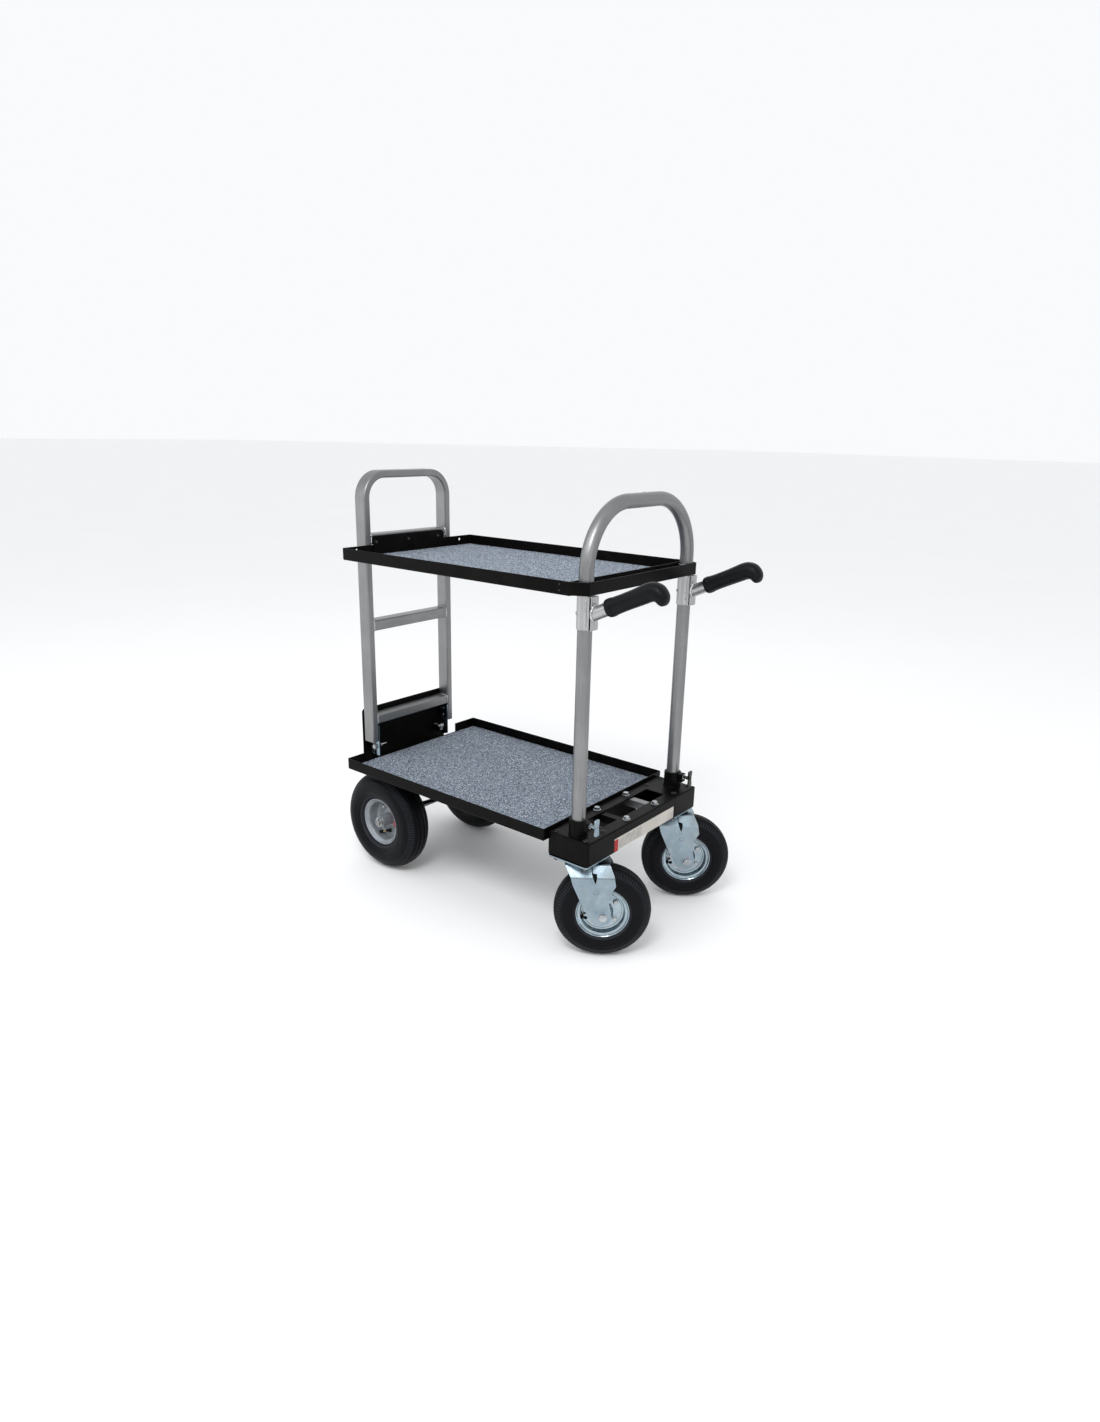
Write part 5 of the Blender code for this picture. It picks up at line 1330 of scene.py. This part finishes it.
for side, s in SIDES:
    centre = Vector((0, s * 0.1702, AXLE_Z))
    axis = Vector((0, s, 0))                     # outward
    tyre("rear_tyre_%s_carcass" % side, "rear_tyre_" + side, "rear_wheel_" + side, centre, axis, 0.1339, 0.0438,
         (0.0059, 0.0245, 2.545, 0.0392),
         [(0.1060, 0.0427), (0.0975, 0.0438), (0.0900, 0.0434), (0.0888, 0.0441), (0.0876, 0.0430), (0.0780, 0.0400),
          (0.0700, 0.0345), (0.0668, 0.0300)],
         [(0.0660, 0.0262), (0.0640, 0.0240), (0.0560, 0.0236)], 112, [(0.0075, 0.0026), (0.0185, 0.0026)],
         (0.0240, 0.0375))

    # rim: rolled lip, stepped well, dished disc off-centre and a long hub
    lipr, lipz = 0.0636, 0.0262
    prof = [(0.0552, -0.0242), (0.0552, 0.0242), (0.0600, 0.0250), (0.0630, 0.0262), (0.0648, 0.0278), (0.0650, 0.0292),
            (0.0640, 0.0302), (0.0622, 0.0302), (0.0606, 0.0290), (0.0592, 0.0268), (0.0570, 0.0252), (0.0545, 0.0238),
            (0.0528, 0.0205), (0.0524, 0.0150), (0.0524, 0.0020), (0.0508, -0.0030), (0.0470, -0.0062), (0.0430, -0.0072),
            (0.0330, -0.0074), (0.0300, -0.0066), (0.0270, -0.0050), (0.0215, -0.0048), (0.0190, -0.0050), (0.0172, -0.0040),
            (0.0160, -0.0010), (0.0158, 0.0270), (0.0152, 0.0290), (0.0120, 0.0292), (0.0116, 0.0278), (0.0085, 0.0278), (0.0085, -0.0320),
            (0.0155, -0.0320), (0.0155, -0.0110), (0.0172, -0.0100), (0.0470, -0.0098), (0.0505, -0.0110), (0.0520, -0.0150), (0.0524, -0.0230),
            (0.0560, -0.0260), (0.0600, -0.0282), (0.0625, -0.0300), (0.0645, -0.0295), (0.0650, -0.0280), (0.0632, -0.0262), (0.0600, -0.0250)]
    parts = lathe(prof, centre, axis, RIM, 96, closed=True)
    # bearing: shield and inner race
    parts += lathe([(0.0082, 0.0284), (0.0092, 0.0284), (0.0096, 0.0279), (0.0112, 0.0276), (0.0116, 0.0284), (0.0150, 0.0284),
                    (0.0150, 0.0270), (0.0082, 0.0270)], centre, axis, ZINC_DULL, 48, closed=True)
    # weld ring of the disc in the well, four rivets
    ring = [centre + axis * 0.0008 + (X * math.cos(a) + Z * math.sin(a)) * 0.0512 for a in np.linspace(0, math.tau, 61)[:-1]]
    parts += bead(ring, 0.0011, RIM, closed=True, seed=61 + s, ripple=0.0046)
    for k in range(4):
        a = math.radians(45 + 90 * k)
        p = centre + (X * math.cos(a) + Z * math.sin(a)) * 0.0385 - axis * 0.0074
        parts += hex_bolt(p, axis, 0.0100, 0.0042, ZINC_DULL, washer_r=0.0072, washer_t=0.0012, ref=(math.cos(k), 0, math.sin(k)))
    # valve stem: rubber boot, brass stem, black cap, leaning across the dish
    base = centre - X * 0.0023 - Z * 0.0384 - axis * 0.0066
    d = (-X * 0.66 - Z * 0.12 + axis * 0.71).normalized()
    parts += lathe([(0, -0.003), (0.0058, -0.003), (0.0052, 0.0010), (0.0038, 0.0060), (0.0034, 0.0120), (0.0, 0.0120)], base, d, RUBBER, 24)
    parts += lathe([(0, 0.0115), (0.0026, 0.0115), (0.0028, 0.0130), (0.0028, 0.0195), (0, 0.0195)], base, d, BRASS, 20)
    parts += lathe([(0, 0.0190), (0.0036, 0.0190), (0.0040, 0.0200), (0.0040, 0.0290), (0.0034, 0.0300), (0, 0.0302)], base, d, RUBBER, 20)
    # red foil patch on the dish beside the hub, blank
    na, verts, faces = 18, [], []
    rows = ((0.0188, -0.0044), (0.0215, -0.0044), (0.0245, -0.0044), (0.0270, -0.0046), (0.0300, -0.0061), (0.0330, -0.0069))
    for lift in (0.0, 0.0003):
        for i in range(na + 1):
            th = math.radians(-52 + 132 * i / na)
            rad = X * math.cos(th) + Z * math.sin(th)
            for r, h in rows:
                verts.append(centre + rad * r + axis * (h + lift))
    m, k = len(rows), (na + 1) * len(rows)
    for i in range(na):
        for j in range(m - 1):
            q = [i * m + j, (i + 1) * m + j, (i + 1) * m + j + 1, i * m + j + 1]
            faces += [[v + k for v in q], q[::-1]]
    rim_loop = ([j for j in range(m)] + [i * m + m - 1 for i in range(1, na + 1)] + [na * m + j for j in range(m - 2, -1, -1)]
                + [i * m for i in range(na - 1, 0, -1)])
    for i, a0 in enumerate(rim_loop):
        b0 = rim_loop[(i + 1) % len(rim_loop)]
        faces.append([a0, b0, b0 + k, a0 + k])
    parts += shape(verts, faces, RED_FOIL)
    piece("rear_rim_%s_wheel" % side, "rear_wheel_" + side, parts, ["rear_rim_" + side], 36)

# ================================================================== swivel casters
YAW = math.radians(37.8)
TRAIL = Vector((math.cos(YAW), math.sin(YAW), 0))
SIDE = Vector((math.sin(YAW), -math.cos(YAW), 0))       # the wheel axle's direction
CASTER_TRAIL = 0.0570
for side, s in SIDES:
    lo, hi = box("caster_tyre_" + side)
    hub_z = (lo.z + hi.z) / 2
    swivel = Vector((SWIVEL_X, s * SWIVEL_Y, 0))
    hub = swivel + TRAIL * CASTER_TRAIL + Z * hub_z

    # fork: pressed from one sheet, folded over rounded shoulders, then trimmed to its side outline
    S, T, crown = 0.0435, 0.0030, 0.2345
    half = fillet([(0.0, crown), (0.0240, crown), (S, 0.2075), (S, 0.0800)], [0, 0.010, 0.011, 0], 9)
    sec = [(-a, b) for a, b in reversed(half)][:-1] + half
    bm = bmesh.new()
    ts = np.linspace(-0.045, 0.095, 15)
    rows = [[bm.verts.new((t_, z_, w_)) for w_, z_ in sec] for t_ in ts]
    for ra, rb in zip(rows, rows[1:]):
        for i in range(len(sec) - 1):
            bm.faces.new((ra[i], ra[i + 1], rb[i + 1], rb[i]))
    bmesh.ops.recalc_face_normals(bm, faces=bm.faces)
    bm.normal_update()
    if sum(f.normal.y for f in bm.faces) < 0:
        bmesh.ops.reverse_faces(bm, faces=bm.faces)
    me = bpy.data.meshes.new("tmp_fork")
    bm.to_mesh(me)
    bm.free()
    fork = bpy.data.objects.new("tmp_fork", me)
    bpy.context.scene.collection.objects.link(fork)
    mod = fork.modifiers.new("sheet", "SOLIDIFY")
    mod.thickness, mod.offset, mod.use_even_offset = T, -1.0, True
    outline = fillet([(-0.0330, 0.2500), (-0.0320, 0.2345), (-0.0180, 0.2095), (-0.0134, 0.1914), (0.0033, 0.1534),
                      (0.0235, 0.1130), (0.0330, 0.0950), (0.0570, 0.0890), (0.0740, 0.0990), (0.0760, 0.1180),
                      (0.0685, 0.1530), (0.0765, 0.1775), (0.0838, 0.1895), (0.0800, 0.2130), (0.0690, 0.2360), (0.0680, 0.2500)],
                     [0, 0.006, 0.02, 0.05, 0.05, 0.02, 0.018, 0.020, 0.016, 0.03, 0.012, 0.02, 0.005, 0.02, 0.006, 0], 6, True)
    cutters = []

    def tool(name, ring, depth, op):
        vs, fs, _ = plate(ring, [], -depth, depth, Matrix.Identity(4), None, 0.0, 1)[0] if False else flat_prism(ring, depth)
        cm = bpy.data.meshes.new(name)
        cm.from_pydata([tuple(v) for v in vs], [], fs)
        cb = bmesh.new()
        cb.from_mesh(cm)
        bmesh.ops.recalc_face_normals(cb, faces=cb.faces)
        cb.to_mesh(cm)
        cb.free()
        o = bpy.data.objects.new(name, cm)
        bpy.context.scene.collection.objects.link(o)
        cutters.append(o)
        b_ = fork.modifiers.new(name, "BOOLEAN")
        b_.object, b_.operation, b_.solver = o, op, "EXACT"

    def flat_prism(ring, depth):
        n_ = len(ring)
        vs = [(a_, b_, -depth) for a_, b_ in ring] + [(a_, b_, depth) for a_, b_ in ring]
        fs = [list(range(n_))[::-1], list(range(n_, 2 * n_))]
        fs += [[i, (i + 1) % n_, n_ + (i + 1) % n_, n_ + i] for i in range(n_)]
        return vs, fs, None

    tool("trim", outline, 0.080, "INTERSECT")
    tool("slit", fillet([(0.0262, 0.2400), (0.0292, 0.2400), (0.0312, 0.2180), (0.0405, 0.2165), (0.0412, 0.2100), (0.0380, 0.1935),
                         (0.0300, 0.2140)], [0, 0, 0.002, 0.001, 0.002, 0.001, 0.003], 3, True), 0.080, "DIFFERENCE")
    tool("axle_hole", [(CASTER_TRAIL + 0.0063 * math.cos(a_), hub_z + 0.0063 * math.sin(a_)) for a_ in np.linspace(0, math.tau, 25)[:-1]],
         0.080, "DIFFERENCE")
    mod = fork.modifiers.new("edge", "BEVEL")
    mod.width, mod.segments, mod.limit_method, mod.angle_limit = 0.0005, 2, "ANGLE", math.radians(55)
    fm = bpy.data.meshes.new_from_object(fork.evaluated_get(bpy.context.evaluated_depsgraph_get()))
    bpy.data.objects.remove(fork, do_unlink=True)
    for o in cutters:
        bpy.data.objects.remove(o, do_unlink=True)
    to_cart = place_matrix(swivel, TRAIL, Z, SIDE)
    parts = [([to_cart @ v.co for v in fm.vertices], [list(p.vertices) for p in fm.polygons], ZINC)]
    # pressed ring mark, stiffening line and axle boss on each leg
    for k in (-1, 1):
        face = swivel + SIDE * (S * k) + TRAIL * 0.0404 + Z * 0.1735
        ring = [face + (TRAIL * math.cos(a_) + Z * math.sin(a_)) * 0.0060 for a_ in np.linspace(0, math.tau, 33)[:-1]]
        parts += bead(ring, 0.0007, ZINC, closed=True, seed=71, ripple=0.02, steps=8)
        parts += lathe([(0, 0.0004), (0.0034, 0.0003), (0.0046, -0.0002)], face, SIDE * k, ZINC, 28)
        p = swivel + SIDE * (S * k) + TRAIL * CASTER_TRAIL + Z * hub_z
        parts += lathe([(0.0064, 0.0012), (0.0118, 0.0010), (0.0146, -0.0003), (0.0064, -0.0003)], p, SIDE * k, ZINC, 40, closed=True)
        line = [swivel + SIDE * (S * k - 0.0002 * k) + TRAIL * t_ + Z * z_ for t_, z_ in ((0.0235, 0.196), (0.0290, 0.160), (0.0360, 0.130))]
        parts += bead(line, 0.0006, ZINC, seed=72, ripple=0.03, steps=8)
    piece("fork_%s_pressing" % side, "caster_swivel_" + side, parts, ["fork_" + side], 34)

    # wheel axle bolt and lock nut
    lo, hi = box("caster_axle_" + side)
    parts = lathe([(0, -0.0437), (0.0059, -0.0437), (0.0059, 0.0437), (0, 0.0437)], hub, SIDE, ZINC_DULL, 28)
    parts += hex_head(hub + SIDE * 0.0447, SIDE, 0.0170, 0.0050, ZINC_DULL)
    parts += lathe([(0.0062, 0.0437), (0.0104, 0.0437), (0.0104, 0.0448), (0.0062, 0.0448)], hub, SIDE, ZINC_DULL, 36, closed=True)
    parts += lathe([(0, 0.0499), (0.0050, 0.0497), (0.0056, 0.0490), (0.0056, 0.048), (0, 0.048)], hub, SIDE, ZINC_DULL, 24)
    parts += hex_head(hub - SIDE * 0.0445, -SIDE, 0.0165, 0.0050, ZINC_DULL)
    piece("caster_axle_%s_bolt" % side, "caster_swivel_" + side, parts, ["caster_axle_" + side])

    body = "caster_wheel_" + side
    tyre("caster_tyre_%s_carcass" % side, "caster_tyre_" + side, body, hub, SIDE, (hi.z and 0.1121), 0.0333,
         (0.0086, 0.0240, 3.13, 0.0312),
         [(0.0905, 0.0326), (0.0850, 0.0333), (0.0830, 0.0340), (0.0812, 0.0332), (0.0740, 0.0322), (0.0670, 0.0295), (0.0636, 0.0268)],
         [(0.0624, 0.0240), (0.0608, 0.0210), (0.0535, 0.0206)], 96, [(0.0060, 0.0022), (0.0150, 0.0022)], (0.0195, 0.0292))

    # pressed two-piece rim: rolled lip, two steps, bolted web, conical hub
    half = [(0.0525, 0.0207), (0.0590, 0.0212), (0.0608, 0.0226), (0.0616, 0.0244), (0.0612, 0.0258), (0.0598, 0.0262),
            (0.0584, 0.0252), (0.0574, 0.0232), (0.0556, 0.0222), (0.0536, 0.0222), (0.0520, 0.0212), (0.0512, 0.0186), (0.0502, 0.0140),
            (0.0486, 0.0112), (0.0458, 0.0100), (0.0300, 0.0098), (0.0262, 0.0104), (0.0232, 0.0128), (0.0200, 0.0190), (0.0176, 0.0240),
            (0.0166, 0.0300), (0.0160, 0.0340), (0.0150, 0.0352), (0.0115, 0.0354), (0.0105, 0.0346), (0.0066, 0.0346)]
    prof = half + [(r, -h) for r, h in reversed(half)]
    parts = lathe(prof, hub, SIDE, RIM_ZINC, 96, closed=True)
    for k in range(5):
        a = math.radians(90 + 72 * k + 18)
        for q in (-1, 1):
            p = hub + (TRAIL * math.cos(a) + Z * math.sin(a)) * 0.0362 + SIDE * (0.0099 * q)
            if q > 0:
                parts += hex_bolt(p, SIDE * q, 0.0098, 0.0046, ZINC_DULL, washer_r=0.0070, washer_t=0.0010, ref=(math.cos(k), math.sin(k), 0.3))
            else:
                parts += lathe([(0, 0.0030), (0.0030, 0.0028), (0.0052, 0.0014), (0.0056, -0.0003), (0, -0.0003)], p, SIDE * q, ZINC_DULL, 24)
    # shallow embossed ring on the web
    for q in (-1, 1):
        ring = [hub + (TRAIL * math.cos(a_) + Z * math.sin(a_)) * 0.0448 + SIDE * (0.0098 * q) for a_ in np.linspace(0, math.tau, 61)[:-1]]
        parts += bead(ring, 0.0009, ZINC, closed=True, seed=80, ripple=0.05, steps=8)
    # valve stem
    a = math.radians(200)
    rad = TRAIL * math.cos(a) + Z * math.sin(a)
    base = hub + rad * 0.0505 + SIDE * 0.0130
    d = (-rad * 0.75 + SIDE * 0.66).normalized()
    parts += lathe([(0, -0.002), (0.0046, -0.002), (0.0040, 0.0020), (0.0032, 0.0060), (0, 0.0060)], base, d, RUBBER, 20)
    parts += lathe([(0, 0.0056), (0.0022, 0.0056), (0.0024, 0.0100), (0, 0.0100)], base, d, BRASS, 16)
    parts += lathe([(0, 0.0096), (0.0034, 0.0096), (0.0036, 0.0104), (0.0036, 0.0156), (0.0030, 0.0164), (0, 0.0166)], base, d, RUBBER, 18)
    piece("caster_rim_%s_pressing" % side, body, parts, ["caster_rim_" + side], 34)

# ================================================================== studio
def stage_object(name, verts, faces, mat):
    me = bpy.data.meshes.new(name)
    me.from_pydata(verts, [], faces)
    me.materials.append(mat)
    ob = bpy.data.objects.new(name, me)
    bpy.context.scene.collection.objects.link(ob)
    ob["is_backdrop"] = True
    return ob


n = Nodes("studio_floor_paint")
cloud = n.noise(1.3, 3.0, 0.5)
FLOOR = n.done(n.mix((0.915, 0.912, 0.908), (0.940, 0.938, 0.934), cloud), 0.75, None, 0.0, Specular_IOR_Level=0.2)
stage_object("studio_floor", [(-55, -55, -0.0005), (55, -55, -0.0005), (55, 55, -0.0005), (-55, 55, -0.0005)], [[0, 1, 2, 3]], FLOOR)

world = bpy.data.worlds.new("studio_world")
bpy.context.scene.world = world
world.use_nodes = True
bg = world.node_tree.nodes["Background"]
bg.inputs["Color"].default_value = (0.965, 0.98, 1.0, 1.0)
bg.inputs["Strength"].default_value = 0.98


def area(name, loc, target, size, power, colour):
    ld = bpy.data.lights.new(name, "AREA")
    ld.shape, ld.size, ld.size_y = "RECTANGLE", size[0], size[1]
    ld.energy, ld.color = power, colour
    ob = bpy.data.objects.new(name, ld)
    bpy.context.scene.collection.objects.link(ob)
    ob.location = loc
    ob.rotation_mode = "QUATERNION"
    ob.rotation_quaternion = (Vector(target) - Vector(loc)).to_track_quat("-Z", "Y")
    return ob


area("key", (-0.9, -2.6, 2.9), (0, 0, 0.5), (2.2, 1.6), 22, (0.96, 0.98, 1.0))
area("front_top", (1.1, -2.1, 2.9), (0.1, -0.1, 0.6), (1.0, 0.9), 46, (0.97, 0.985, 1.0))
area("fill", (2.9, -1.2, 1.6), (0, 0, 0.4), (1.6, 1.6), 6, (1.0, 0.97, 0.93))
area("back", (-1.6, 2.6, 2.4), (0, 0, 0.5), (2.4, 1.2), 3, (0.94, 0.97, 1.0))
area("side", (-2.3, -1.9, 1.1), (0, 0, 0.6), (0.5, 2.0), 5, (0.93, 0.97, 1.0))

cam_data = bpy.data.cameras.new("camera")
cam = bpy.data.objects.new("camera", cam_data)
bpy.context.scene.collection.objects.link(cam)
bpy.context.scene.camera = cam
az, el, roll = math.radians(38.604), math.radians(17.348), math.radians(1.233)
back = Vector((math.sin(az) * math.cos(el), -math.cos(az) * math.cos(el), math.sin(el)))
right = Vector((math.cos(az), math.sin(az), 0))
up = back.cross(right)
r2 = right * math.cos(roll) + up * math.sin(roll)
u2 = up * math.cos(roll) - right * math.sin(roll)
m = Matrix((r2, u2, back)).transposed().to_4x4()
m.translation = SHIFT + Vector((1.7590, -1.6757, 1.1619))
cam.matrix_world = m
cam_data.sensor_width = 36.0
cam_data.lens = 22.903
cam_data.clip_start, cam_data.clip_end = 0.05, 60.0

scene = bpy.context.scene
scene.view_settings.view_transform = "Standard"
scene.view_settings.look = "None"

lo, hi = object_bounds()
